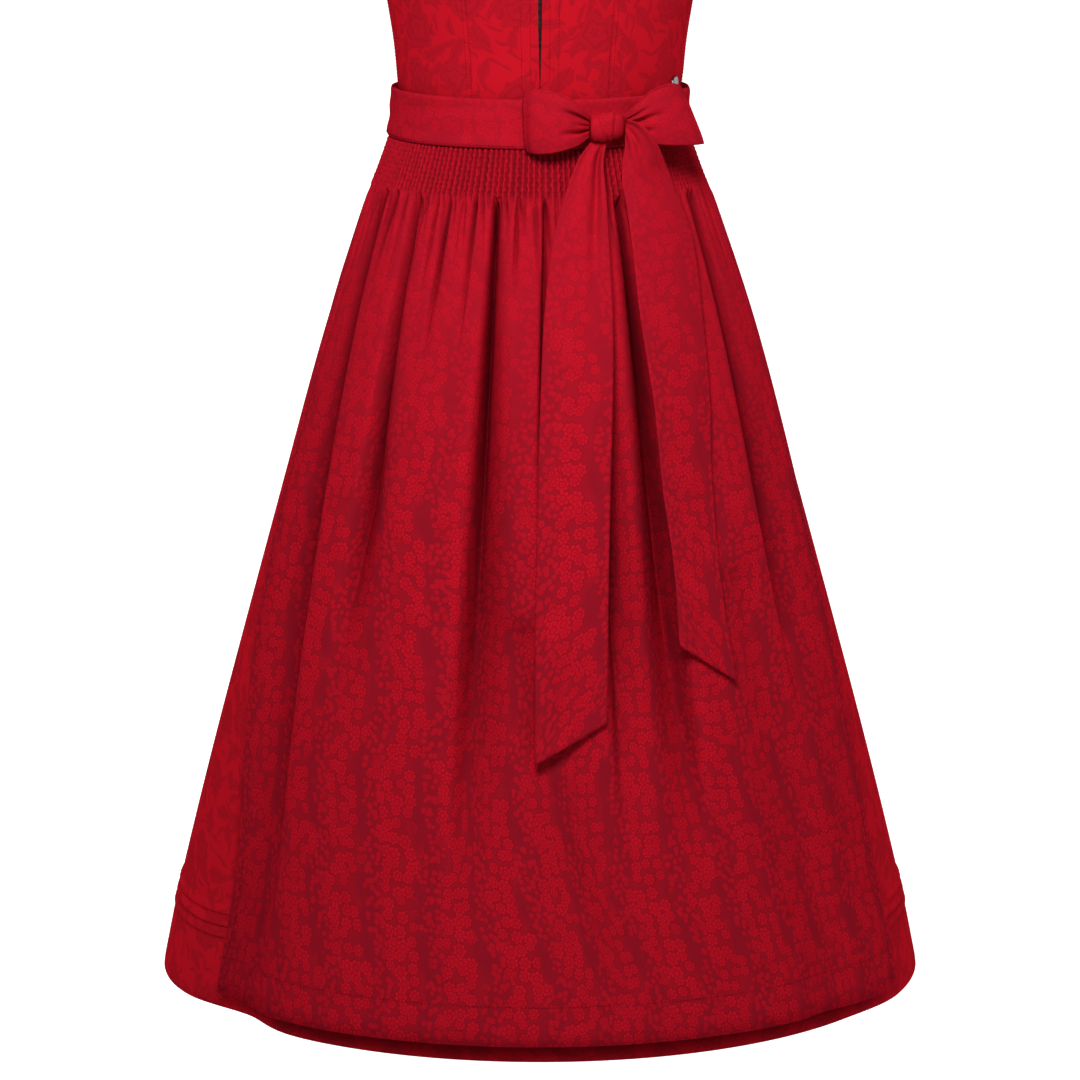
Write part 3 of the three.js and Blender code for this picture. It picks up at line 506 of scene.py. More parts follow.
def flower_band_cloth(name, ground, bright, line):
    """Jacquard with wandering bands of small flowers along the cloth."""
    tree = new_tree(name)
    u, v = tree.cloth_place()
    flat = tree.vector(u, v)
    wander_noise = tree.noise(flat, 0.012, 1.0)

    def in_band(across, down):
        swing = (down * (FULL_TURN / 118)).sin() * 4.5 + (down * (FULL_TURN / 53)).sin() * 2.5
        return ((across + swing + wander_noise * 20) * (FULL_TURN / FLOWER_BAND)).cos()

    big, big_line, bx, by = daisies(tree, u, v, 11.0, 6.0, 7, 0.6)
    small, small_line, sx, sy = daisies(tree, u, v, 5.8, 2.7, 5, 0.9, 3.7)
    big_in = in_band(bx, by).rise(-0.34, -0.14)
    small_in = in_band(sx, sy).rise(0.25, 0.45)
    flowers = (big * big_in).most(small * small_in * (1 - big * big_in))
    lines = (big_line * big_in).most(small_line * small_in * (1 - big * big_in) * 0.5)
    patchy = tree.noise(flat, 0.05, 3.0)
    band = in_band(u, v).rise(-0.75, 0.1)
    shown = v.abs().rise(40, 330) * 0.62 + 0.38
    middle = (1 - shown) * 0.55
    colour = tree.blend((flowers * 0.78 + band * 0.22) * shown + middle, ground, bright)
    colour = tree.blend(lines * 0.62 * shown, colour, line)
    colour = tree.blend((patchy * 0.4 + 0.05).most(0.0), colour, line)
    # Painted shade: the apron cloth darkens towards rgb(58, 3, 9) where its shade attribute is
    # high, in the folds.
    colour = tree.painted_fold_shade(colour, rgb(58, 3, 9))
    raised = flowers * 0.5 - lines * 0.55
    roughness = 0.58 + lines * 0.12 - flowers * 0.05
    return weave(tree, u, v, colour, raised, 1.02, 0.12, 0.42, roughness)


def leaves(tree, u, v, cell, length, width, shift):
    """Scattered pointed leaves: (leaf, its veins and hatching)."""
    dx, dy, _, _, (turn, size, _) = scattered(tree, u, v, cell, 0.9, shift)
    c, s = (turn * FULL_TURN).cos(), (turn * FULL_TURN).sin()
    x, y = dx * c + dy * s, dy * c - dx * s
    reach = size * 0.35 + 0.75
    along_leaf = x / (reach * length)
    half = (1 - along_leaf * along_leaf).most(0.0) * reach * width
    inside = (y.abs() - half).rise(0.3, -0.3) * along_leaf.abs().rise(1.02, 0.98)
    vein = y.abs().rise(0.7, 0.3)
    ribs = ((x - y.abs() * 1.2) * (FULL_TURN / 2.4)).cos().rise(0.2, 0.8)
    return inside, vein.most(ribs * 0.7) * inside


def roses(tree, u, v, cell, radius, shift):
    """Scattered open roses with lobed petals: (rose, its petal lines)."""
    dx, dy, _, _, (turn, size, _) = scattered(tree, u, v, cell, 0.62, shift)
    r = (dx * dx + dy * dy).sqrt()
    a = dx.atan2(dy) + turn * FULL_TURN
    reach = radius * (size * 0.35 + 0.8)
    edge = reach * ((a * 5).cos().abs() * 0.22 + 0.8)
    inside = (r - edge).rise(0.4, -0.4)
    share = r / reach
    curl = (share * 15 + (a * 5).cos() * 1.3).sin().rise(0.35, 0.9)
    hatch = (a * 44).cos().rise(0.3, 0.9) * share.rise(0.35, 0.6)
    return inside, curl.most(hatch * 0.6) * inside


def flower_spray_cloth(name, ground, motif, line):
    """Jacquard with large sprays of roses and leaves, darker than the ground."""
    tree = new_tree(name)
    u, v = tree.cloth_place()
    flat = tree.vector(u, v)
    bend_u = u + tree.noise(flat, 0.05, 1.0) * 16
    bend_v = v + tree.noise(tree.vector(v, u), 0.05, 1.0) * 16
    rose, rose_line = roses(tree, bend_u, bend_v, 62, 19, 0.3)
    leaf, leaf_line = leaves(tree, bend_u, bend_v, 27, 14, 6.2, 2.1)
    frond, frond_line = leaves(tree, bend_u, bend_v, 15, 9.5, 2.2, 5.6)
    leaf = leaf * (1 - rose)
    frond = frond * (1 - rose) * (1 - leaf)
    dark = rose.most(leaf).most(frond * 0.8)
    lines = (rose_line * rose).most(leaf_line * leaf).most(frond_line * frond)
    colour = tree.blend(dark * 0.85, ground, motif)
    colour = tree.blend(lines * 0.5, colour, line)
    patchy = tree.noise(flat, 0.03, 3.0)
    colour = tree.blend((patchy * 0.4 + 0.05).most(0.0), colour, motif)
    # Painted shade: the dress cloth darkens towards rgb(40, 2, 6) where its shade attribute is
    # high, as under the apron's hem.
    colour = tree.painted_fold_shade(colour, rgb(40, 2, 6))
    raised = lines * 0.5 - dark * 0.5
    return weave(tree, u, v, colour, raised, -1.02, 0.1, 0.4, 0.5 + dark * 0.12)


def plain_cloth(name, colour, shade):
    tree = new_tree(name)
    place = tree.node("ShaderNodeTexCoord", {}, {}, out="Object")
    grain = tree.noise(place, 900, 2.0)
    ribs = tree.noise(place, 240, 1.0)
    bump = tree.node("ShaderNodeBump", {}, {"Strength": 0.5, "Distance": 0.0003, "Height": grain})
    mixed = tree.blend((ribs + 0.5).rise(0.3, 0.8), colour, shade)
    return tree.finish(
        Base_Color=mixed, Roughness=0.75 + grain * 0.2, Normal=bump, Specular_IOR_Level=0.0
    )


def metal(name, colour, shade, rough):
    tree = new_tree(name)
    place = tree.node("ShaderNodeTexCoord", {}, {}, out="Object")
    wear = tree.noise(place, 260, 3.0)
    mixed = tree.blend((wear + 0.5).rise(0.35, 0.75), colour, shade)
    return tree.finish(Base_Color=mixed, Metallic=1.0, Roughness=wear * 0.3 + rough)


DRESS = flower_spray_cloth("dress_jacquard", rgb(196, 20, 36), rgb(176, 21, 36), rgb(154, 17, 31))
APRON = flower_band_cloth("apron_jacquard", rgb(151, 21, 37), rgb(199, 21, 39), rgb(114, 12, 25))
ZIP_CLOTH = plain_cloth("zip_tape_cloth", rgb(70, 14, 20), rgb(48, 10, 14))
DARK_METAL = metal("zip_metal", rgb(96, 84, 80), rgb(56, 48, 46), 0.42)
BRIGHT_METAL = metal("tag_metal", rgb(128, 130, 132), rgb(84, 88, 92), 0.36)
# Thread colours darker than the cloth: partly the thread's own colour, partly painted shade for the
# shadows in the stitch holes.
DRESS_THREAD_AND_SHADE = plain_cloth("dress_thread_and_shade", rgb(112, 8, 18), rgb(84, 5, 12))
APRON_THREAD_AND_SHADE = plain_cloth("apron_thread_and_shade", rgb(112, 9, 20), rgb(84, 6, 14))

# ---------------------------------------------------------------- making pieces


def put(name, data):
    """An object of this data, in the scene."""
    made = bpy.data.objects.new(name, data)
    bpy.context.scene.collection.objects.link(made)
    return made


def mesh_piece(name, points, faces, material, places=None, shade=None):
    """A smooth mesh object from points in millimetres, with the cloth's own places as its UV map
    and the painted shade of its folds, 0 to 1, as its shade attribute."""
    mesh = bpy.data.meshes.new(name)
    mesh.from_pydata((np.asarray(points) * MM).tolist(), [], [tuple(f) for f in faces])
    if places is not None:
        layer = mesh.uv_layers.new(name="cloth")
        corners = np.zeros(len(mesh.loops), dtype=np.int32)
        mesh.loops.foreach_get("vertex_index", corners)
        layer.data.foreach_set("uv", (np.asarray(places)[corners] * MM).ravel())
    if shade is not None:
        layer = mesh.attributes.new("shade", "FLOAT", "POINT")
        layer.data.foreach_set("value", np.asarray(shade, dtype=np.float32))
    mesh.polygons.foreach_set("use_smooth", [True] * len(mesh.polygons))
    mesh.materials.append(material)
    return put(name, mesh)


def outward_faces(piece):
    """Turns the faces of one closed form outwards."""
    work = bmesh.new()
    work.from_mesh(piece.data)
    bmesh.ops.recalc_face_normals(work, faces=work.faces)
    work.to_mesh(piece.data)
    work.free()


def shell_mesh(name, outer, places, thickness, material, soft_edges="tblr", shade=None):
    """A closed shell of cloth under a grid of outer points. Its top, bottom, left and right edges
    are softened where their letters are given, and crisp elsewhere."""
    rows, columns = outer.shape[:2]
    n = normals(outer)
    soft = np.zeros((rows, columns, 1))
    crisp = np.zeros((rows, columns), dtype=bool)
    ends = (("t", (0,)), ("b", (-1,)), ("l", (slice(None), 0)), ("r", (slice(None), -1)))
    for letter, edge in ends:
        if letter in soft_edges:
            soft[edge] = 0.3
        else:
            crisp[edge] = True
    top = outer - n * thickness * soft
    under = outer - n * thickness * (1 - soft)
    count = rows * columns
    ids = np.arange(count).reshape(rows, columns)

    def quads(a, b, c, d):
        return np.stack([x.ravel() for x in (a, b, c, d)], axis=1)

    faces = [
        quads(ids[:-1, :-1], ids[1:, :-1], ids[1:, 1:], ids[:-1, 1:]),
        quads(ids[:-1, :-1], ids[:-1, 1:], ids[1:, 1:], ids[1:, :-1]) + count,
        quads(ids[0, :-1], ids[0, 1:], ids[0, 1:] + count, ids[0, :-1] + count),
        quads(ids[-1, 1:], ids[-1, :-1], ids[-1, :-1] + count, ids[-1, 1:] + count),
        quads(ids[1:, 0], ids[:-1, 0], ids[:-1, 0] + count, ids[1:, 0] + count),
        quads(ids[:-1, -1], ids[1:, -1], ids[1:, -1] + count, ids[:-1, -1] + count),
    ]
    points = np.concatenate([top.reshape(-1, 3), under.reshape(-1, 3)])
    both = np.concatenate([places.reshape(-1, 2)] * 2)
    if shade is not None:
        shade = np.tile(np.broadcast_to(shade, (rows, columns)).ravel(), 2)
    piece = mesh_piece(name, points, np.concatenate(faces).tolist(), material, both, shade)
    ends = np.zeros(2 * len(piece.data.edges), dtype=np.int32)
    piece.data.edges.foreach_get("vertices", ends)
    sharp = np.tile(crisp.ravel(), 2)[ends.reshape(-1, 2)].all(axis=1)
    piece.data.attributes.new("sharp_edge", "BOOLEAN", "EDGE").data.foreach_set("value", sharp)
    return piece


def cut_of(outer):
    """Width, length and area of the cloth in a grid of points, in metres."""
    across = np.linalg.norm(np.diff(outer, axis=1), axis=-1)
    down = np.linalg.norm(np.diff(outer, axis=0), axis=-1)
    a, b = outer[1:, 1:] - outer[:-1, :-1], outer[1:, :-1] - outer[:-1, 1:]
    area = np.linalg.norm(np.cross(a, b), axis=-1).sum() / 2
    width, length = across.sum(axis=1).max(), down.sum(axis=0).max()
    return width * MM, length * MM, area * MM * MM


def cloth_piece(
    node, outer, places, material,
    thickness=CLOTH, flat=None, soft_edges="tblr", shade=None,
):
    """A cloth piece that stands for a node and hides its part. The size it was cut to is worked out
    but not used.
    """
    piece = shell_mesh(node + "_cloth", outer, places, thickness, material, soft_edges, shade)
    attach(piece, "garment")
    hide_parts(node)
    width, length, area = cut_of(outer)
    if flat:
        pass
    else:
        area = min(max(area, 0.31 * width * length), width * length)
    return piece


def arc_places(outer, width=None, hidden=None):
    """Cloth places for a grid: true length down, and across it true length, or the cut width with
    what is left over tucked away where hidden is large."""
    across = np.linalg.norm(np.diff(outer, axis=1), axis=-1)
    down = np.linalg.norm(np.diff(outer, axis=0), axis=-1)
    v = np.concatenate([np.zeros((1, outer.shape[1])), np.cumsum(down, axis=0)])
    v = np.repeat(v.mean(axis=1, keepdims=True), outer.shape[1], axis=1)
    if width is not None:
        spare = np.maximum(width - across.sum(axis=1, keepdims=True), 0)
        weight = (hidden[:, 1:] + hidden[:, :-1]) / 2 + 1e-4
        across = across + spare * weight / weight.sum(axis=1, keepdims=True)
    u = np.concatenate([np.zeros((outer.shape[0], 1)), np.cumsum(across, axis=1)], axis=1)
    u = u - u[:, [-1]] / 2
    return np.stack([u, v], axis=-1)


# ---------------------------------------------------------------- stitches and teeth


def repeats_along(name, lines, material, pitch, length, width, height, rounded=True):
    """One mesh of small shapes at an even pitch along lines of points, turned to follow them."""
    points, edges = [], []
    for line in lines:
        first = len(points)
        points += (np.asarray(line) * MM).tolist()
        edges += [(first + i, first + i + 1) for i in range(len(line) - 1)]
    mesh = bpy.data.meshes.new(name + "_lines")
    mesh.from_pydata(points, edges, [])
    guide = put(name + "_lines", mesh)

    tree = bpy.data.node_groups.new(name, "GeometryNodeTree")
    sockets = tree.interface
    sockets.new_socket("Geometry", in_out="INPUT", socket_type="NodeSocketGeometry")
    sizes = {"Pitch": pitch, "Length": length, "Width": width, "Height": height}
    named = {}
    for label in sizes:
        named[label] = sockets.new_socket(label, in_out="INPUT", socket_type="NodeSocketFloat")
    sockets.new_socket("Geometry", in_out="OUTPUT", socket_type="NodeSocketGeometry")

    def add(kind, values, **settings):
        made = tree.nodes.new(kind)
        for label, value in settings.items():
            setattr(made, label, value)
        for label, value in values.items():
            if isinstance(value, bpy.types.NodeSocket):
                tree.links.new(value, made.inputs[label])
            else:
                made.inputs[label].default_value = value
        return made.outputs

    start = add("NodeGroupInput", {})
    curve = add("GeometryNodeMeshToCurve", {"Mesh": start["Geometry"]})
    spacing = {"Curve": curve["Curve"], "Length": start["Pitch"]}
    even = add("GeometryNodeResampleCurve", spacing, mode="LENGTH")
    if rounded:
        ball = {"Segments": 6, "Rings": 4, "Radius": 0.5}
        shape = add("GeometryNodeMeshUVSphere", ball)
    else:
        shape = add("GeometryNodeMeshCube", {})
    sides = {"X": start["Length"], "Y": start["Width"], "Z": start["Height"]}
    size = add("ShaderNodeCombineXYZ", sides)
    tangent = add("GeometryNodeInputTangent", {})
    turned = {"Vector": tangent["Tangent"]}
    align = add("FunctionNodeAlignRotationToVector", turned, axis="X")
    spread = {
        "Points": even["Curve"], "Instance": shape["Mesh"],
        "Rotation": align["Rotation"], "Scale": size["Vector"],
    }
    copies = add("GeometryNodeInstanceOnPoints", spread)
    real = add("GeometryNodeRealizeInstances", {"Geometry": copies["Instances"]})
    paint = {"Geometry": real["Geometry"], "Material": material}
    painted = add("GeometryNodeSetMaterial", paint)
    add("NodeGroupOutput", {"Geometry": painted["Geometry"]})

    modifier = guide.modifiers.new(name, "NODES")
    modifier.node_group = tree
    for label, value in sizes.items():
        modifier[named[label].identifier] = value * MM
    ready = guide.evaluated_get(bpy.context.evaluated_depsgraph_get())
    made = bpy.data.meshes.new_from_object(ready)
    made.name = name
    bpy.data.objects.remove(guide)
    made.polygons.foreach_set("use_smooth", [rounded] * len(made.polygons))
    return put(name, made)


def stitches(name, lines, material, pitch=3.0):
    length = pitch * STITCH_SHARE
    piece = repeats_along(name, lines, material, pitch, length, STITCH_WIDTH, STITCH_HEIGHT)
    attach(piece, "garment")


# ---------------------------------------------------------------- bodice


def fold_angle(angle):
    """The angle from the centre front, the same on both sides."""
    return np.abs(np.mod(angle + 180, 360) - 180)


def bodice_point(angle, z, out=0.0):
    bust = BUST_REACH * bell((fold_angle(angle) - BUST_ANGLE) / BUST_HALF_ANGLE)
    bust = bust * bell((z - BUST_Z) / BUST_HALF_HEIGHT)
    return on_ring(TORSO, angle, z, out + bust)


def top_edge(angle):
    return along(TOP_EDGE, "angle", "z", fold_angle(angle))


def zip_gap(z):
    """Half the opening over the zip."""
    return 0.15 + 1.55 * smooth(-386, -300, z) + 3.7 * smooth(-254, -214, z)


def bodice_panel(node, start, end, columns):
    v, u = grid(90, columns)
    z = mix(top_edge(mix(start, end, u)), WAIST_Z + SEAM_GAP / 2, v)

    def edge(angle, other):
        if angle != 0:
            return angle + 0 * z
        return math.copysign(1, other) * zip_gap(z) * 45 / along(TORSO, "z", "front", z)

    angle = mix(edge(start, end), edge(end, start), u)
    from_seam = np.minimum(np.abs(angle - start), np.abs(angle - end)) * math.pi / 180 * MEAN_RADIUS
    seam = -0.5 * bell(from_seam / 1.0)
    wrinkle = 0.7 * np.sin(z / 7.5 + np.radians(angle) * 3) * smooth(-345, -395, z)
    wrinkle = wrinkle * (0.5 + 0.5 * np.sin(np.radians(angle) * 5 + 1))
    outer = bodice_point(angle, z, seam + wrinkle)
    places = np.stack([np.radians(angle) * CLOTH_RADIUS, -z + 0 * u], axis=-1)
    cloth_piece(node, outer, places, DRESS, soft_edges="tb")


def strap(node, mirror):
    v, u = grid(70, 14)
    w = u if mirror > 0 else 1 - u
    front = v > 0.5

    def pick(column):
        return np.where(front, STRAP_ENDS[column][0], STRAP_ENDS[column][1])

    angle = mix(pick("inner"), pick("outer"), w)
    root = bodice_point(mirror * angle, top_edge(angle) + SEAM_GAP)
    x = mirror * mix(SHOULDER_INNER, SHOULDER_OUTER, w)
    height = CLOTH + SHOULDER_SLOPE * (0.5 - w)
    shoulder = np.stack([x, 0 * x, height], axis=-1)
    rise = 1 - np.abs(2 * v - 1)
    lean = pick("lean")
    over = (lean * rise + (1 - lean) * rise * rise)[..., None]
    outer = mix(root, shoulder, over)
    outer[..., 2] = mix(root[..., 2], height, np.sin(rise * math.pi / 2))
    places = arc_places(outer)
    cloth_piece(node, outer, places, DRESS)


def build_bodice():
    bodice_panel("bodice_front_left", 0, PRINCESS_FRONT, 44)
    bodice_panel("bodice_front_right", -PRINCESS_FRONT, 0, 44)
    bodice_panel("bodice_side_front_left", PRINCESS_FRONT, SIDE_SEAM, 56)
    bodice_panel("bodice_side_front_right", -SIDE_SEAM, -PRINCESS_FRONT, 56)
    bodice_panel("bodice_side_back_left", SIDE_SEAM, PRINCESS_BACK, 52)
    bodice_panel("bodice_side_back_right", -PRINCESS_BACK, -SIDE_SEAM, 52)
    bodice_panel("bodice_back", PRINCESS_BACK, 360 - PRINCESS_BACK, 84)
    strap("strap_left", 1)
    strap("strap_right", -1)


def bodice_stitch_lines():
    """Rows of stitches beside the panel seams, the zip and the top edge."""
    lines = []
    beside = ((PRINCESS_FRONT, -1), (PRINCESS_FRONT, 1), (PRINCESS_BACK, 1), (SIDE_SEAM, -1))
    for seam, side in beside:
        for mirror in (1, -1):
            z = np.linspace(float(top_edge(seam)) - 2, BAND_TOP - 4, 60)
            angle = mirror * (seam + side * np.degrees(2.4 / MEAN_RADIUS))
            lines.append(bodice_point(angle, z, 0.1))
    for distance in (8.6, 16.8):
        for mirror in (1, -1):
            z = np.linspace(-196, BAND_TOP - 4, 60)
            lines.append(bodice_point(mirror * np.degrees(distance / FRONT_RADIUS), z, 0.1))
    for start, end in ((3, 27), (51, 133), (157, 180)):
        for mirror in (1, -1):
            angle = np.linspace(start, end, 60)
            lines.append(bodice_point(mirror * angle, top_edge(angle) - 3, 0.1))
    return lines


def zip_place(x, z, out):
    return bodice_point(np.degrees(x / along(TORSO, "z", "side", z)), z, out)


def build_zip():
    behind = CLOTH + 2 * SEAM_GAP
    v, u = grid(80, 24)
    z = mix(ZIP_TOP, ZIP_BOTTOM, v)
    across = mix(-TAPE_HALF_WIDTH, TAPE_HALF_WIDTH, u)
    ribs = 0.12 * np.cos(u * FULL_TURN * 11)
    outer = zip_place(across, z, ribs - behind - CHAIN - SEAM_GAP)
    places = np.stack([across, -z], axis=-1)
    cloth_piece("zip_tape", outer, places, ZIP_CLOTH, TAPE)

    teeth = []
    for side, shift in ((-1, 0.0), (1, TOOTH_PITCH / 2)):
        z = np.linspace(ZIP_TOP - shift, ZIP_BOTTOM, 60)
        teeth.append(zip_place(side * 0.95 + 0 * z, z, -behind - CHAIN / 2))
    sizes = (TOOTH_PITCH, TOOTH_LENGTH, CHAIN, TOOTH_HEIGHT)
    chain = repeats_along("zip_teeth", teeth, DARK_METAL, *sizes, rounded=False)
    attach(chain, "garment")
    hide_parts("zip_chain")


def ring_faces(count, rings):
    """Faces of a closed form made of so many rings of points, with its two ends."""
    faces = [list(range(count))[::-1], [(rings - 1) * count + i for i in range(count)]]
    for first in range(0, (rings - 1) * count, count):
        for i in range(count):
            j = (i + 1) % count
            faces.append([first + i, first + j, first + count + j, first + count + i])
    return faces


def prism(outline, low, high, bevel):
    """Points and faces of an outline in the plane of the first two axes, with softened ends."""
    outline = np.asarray(outline, float)
    middle = outline.mean(axis=0)
    inward = middle - outline
    inward /= np.maximum(np.linalg.norm(inward, axis=1, keepdims=True), 1e-9)
    small = outline + inward * bevel
    rings = [(small, low), (outline, low + bevel), (outline, high - bevel), (small, high)]
    points = np.concatenate([np.column_stack([ring, np.full(len(ring), h)]) for ring, h in rings])
    return points, ring_faces(len(outline), len(rings))


def rounded_box(x, y, z, bevel):
    """A box between pairs of ends, with its long edges cut."""
    corners = []
    for cx, cy, turn in ((x[1], y[1], 0), (x[0], y[1], 90), (x[0], y[0], 180), (x[1], y[0], 270)):
        for i in range(4):
            a = math.radians(turn + i * 30)
            inner_x = cx - math.copysign(bevel, cx - sum(x) / 2)
            inner_y = cy - math.copysign(bevel, cy - sum(y) / 2)
            corners.append((inner_x + bevel * math.cos(a), inner_y + bevel * math.sin(a)))
    return prism(corners, z[0], z[1], bevel)


def join_parts(parts):
    points, faces, first = [], [], 0
    for part_points, part_faces in parts:
        points.append(part_points)
        faces += [[first + i for i in face] for face in part_faces]
        first += len(part_points)
    return np.concatenate(points), faces


def metal_piece(node, points, faces, body, material):
    piece = mesh_piece(node + "_metal", points, faces, material)
    outward_faces(piece)
    for polygon in piece.data.polygons:
        polygon.use_smooth = len(polygon.vertices) == 4
    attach(piece, body)
    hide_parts(node)


def build_slider():
    seat_y = float(bodice_point(0.0, SLIDER_BOTTOM)[1]) + CLOTH + 2 * SEAM_GAP - SLIDER_SEAT
    face_y = PIVOT_Y + LUG_DEPTH / 2 + 0.3
    w, z = SLIDER_HALF_WIDTH, (SLIDER_BOTTOM, SLIDER_TOP)
    parts = [rounded_box((-w, w), (face_y, seat_y), z, 0.7)]
    for side in (-1, 1):
        inner, outer = side * LUG_INNER, side * (LUG_INNER + LUG_WIDTH)
        ends = (min(inner, outer), max(inner, outer))
        deep, tall = (face_y - LUG_DEPTH, face_y + 0.4), (z[0] + 1.2, z[1] - 1.2)
        parts.append(rounded_box(ends, deep, tall, 0.35))
    points, faces = join_parts(parts)
    metal_piece("zip_slider", points, faces, "garment", DARK_METAL)


def build_pull_tab():
    neck, w, drop, shoulder, head = PULL_NECK, PULL_HALF_WIDTH, PULL_DROP, PULL_SHOULDER, PULL_HEAD
    outline = [(-neck, head), (-neck, -shoulder), (-w, -shoulder - 2), (-w, -drop + w)]
    for a in np.linspace(math.pi, FULL_TURN, 15)[1:-1]:
        outline.append((w * math.cos(a), -drop + w + w * math.sin(a)))
    outline += [(w, -drop + w), (w, -shoulder - 2), (neck, -shoulder), (neck, head)]
    plate, faces = prism(outline, -PULL_THICKNESS / 2, PULL_THICKNESS / 2, 0.3)
    points = np.stack([plate[:, 0], PIVOT_Y - plate[:, 2], PIVOT_Z + plate[:, 1]], axis=-1)
    metal_piece("zip_pull", points, faces, "pull_tab", DARK_METAL)


def build_tag():
    """A plain domed disc with a raised rim, flat on the bodice."""
    across = bodice_point(TAG_ANGLE + 2, TAG_Z) - bodice_point(TAG_ANGLE - 2, TAG_Z)
    up = bodice_point(TAG_ANGLE, TAG_Z + 5) - bodice_point(TAG_ANGLE, TAG_Z - 5)
    across, up = across / np.linalg.norm(across), up / np.linalg.norm(up)
    out = np.cross(across, up)
    seat = bodice_point(TAG_ANGLE, TAG_Z) + out * SEAM_GAP
    profile = [(1.0, 0.0), (1.0, 0.75), (0.95, 1.0), (0.87, 1.0), (0.8, 0.7), (0.5, 0.85)]
    turns = np.radians(np.arange(0, 360, 7.5))
    rings = []
    for reach, level in profile:
        rings.append([
            seat + TAG_RADIUS * reach * (math.cos(a) * across + math.sin(a) * up)
            + out * TAG_THICKNESS * level for a in turns
        ])
    points = np.array(rings).reshape(-1, 3)
    faces = ring_faces(len(turns), len(rings))
    metal_piece("metal_tag", points, faces, "garment", BRIGHT_METAL)


# ---------------------------------------------------------------- skirt and apron


def fold_depth(folds, angle, t, z, cleft_shade_only=False):
    """Depth of a table's folds: soft wide troughs, each with a narrow cleft in its upper part.
    With cleft_shade_only, gives instead the painted shade of the clefts, 0 to 1."""
    total, painted_cleft_shade = 0.0, 0.0
    cleft = 0.62 * (1 - smooth(0.04, 0.7, t))
    side = along(SKIRT, "z", "side", z)
    for i in range(len(folds["top"])):
        row = [folds[column][i] for column in FOLD_COLUMNS.split()]
        top, bottom, start, fade, end, depth, half, steep = row
        arc = np.radians(angle - mix(top, bottom, t)) * side
        opened = half * mix(0.34, 1.25, smooth(0, 0.65, t))
        on_steep_side = steep * np.sign(arc) > 0
        lean = np.where(on_steep_side, 0.44, 1 + 0.5 * abs(steep))
        envelope = smooth(start - 0.004, start + 0.018, t) * (1 - smooth(fade, end, t))
        crease = np.exp(-np.abs(arc) / (opened * 0.3 + 0.5))
        shape = (1 - cleft) * bell(arc / (opened * lean)) + cleft * crease
        shallow = max(0.5, min(1, 11 / depth))
        total = total + depth * mix(shallow, 1, smooth(0, 0.2, t)) * envelope * shape
        # Painted shade of the cleft: dark from the steep side's edge, fading over the gentle side,
        # and moved to the side that shows where the fold is seen flat.
        seen_flat = smooth(38, 62, abs(top))
        middle = steep * opened * seen_flat
        from_middle = np.abs(arc + middle)
        steep_side = 1 - smooth(0.32 * opened, 0.58 * opened, from_middle)
        gentle_side = np.exp(-from_middle / (opened * (0.34 + 0.45 * seen_flat) + 0.4))
        narrow = np.where(steep * (arc + middle) > 0, steep_side, gentle_side) * min(1, depth / 14)
        fading = (0.8 + 0.2 * seen_flat) * (1 - 0.7 * smooth(0.1, 0.65, t))
        painted_cleft_shade = np.maximum(painted_cleft_shade, narrow * envelope * fading)
    return painted_cleft_shade if cleft_shade_only else total


def apron_share(z):
    return np.clip((SMOCK_BOTTOM - z) / (SMOCK_BOTTOM - APRON_HEM), 0, 1)


def apron_stand_off(z):
    return mix(4.2, 8.5, smooth(-465, -900, z)) + 4.5 * smooth(-1000, APRON_HEM, z)


def hem_dent(angle, t):
    """A broad hollow that skirt and apron share near the hem."""
    side = angle - DENT_ANGLE
    return DENT_DEPTH * smooth(0.55, 1, t) * bell(side / np.where(side > 0, DENT_STEEP, DENT_WIDE))


def apron_edges(t):
    """Angles of the apron's right and left edges."""
    return along(APRON_EDGE, "t", "right", t), along(APRON_EDGE, "t", "left", t)


def apron_folds(angle, t, z):
    return fold_depth(FRONT_FOLDS, angle, t, z) + fold_depth(SHORT_FOLDS, angle, t, z)


def apron_point(angle, z, out=0.0):
    t = apron_share(z)
    sunk = apron_folds(angle, t, z)
    return on_ring(SKIRT, angle, z, out + apron_stand_off(z) - sunk - hem_dent(angle, t))


def gathers(u, v, count, depth, fade, seed):
    """Uneven small gathers under a seam: how far the cloth sinks between them."""
    place = count * (u + 0.006 * np.sin(u * 19.5 + seed) + 0.004 * np.sin(u * 47 + 2 * seed))
    number = np.floor(place)
    reach = fade * (0.55 + 1.1 * scatter(number, seed))
    strength = depth * (0.6 + 0.7 * scatter(number, seed + 3))
    run_out = smooth(0, 0.018, v) * (1 - smooth(0.02, 1, v / reach))
    return strength * run_out * (0.5 - 0.5 * np.cos(FULL_TURN * place)) ** 2


def smock_pleats(u):
    """The smocking's pleats across the apron: 0 on each crest and 1 in each valley."""
    place = SMOCK_PLEATS * (u + 0.0012 * np.sin(u * 90))
    return 0.5 + 0.5 * np.cos(FULL_TURN * place), np.floor(place)


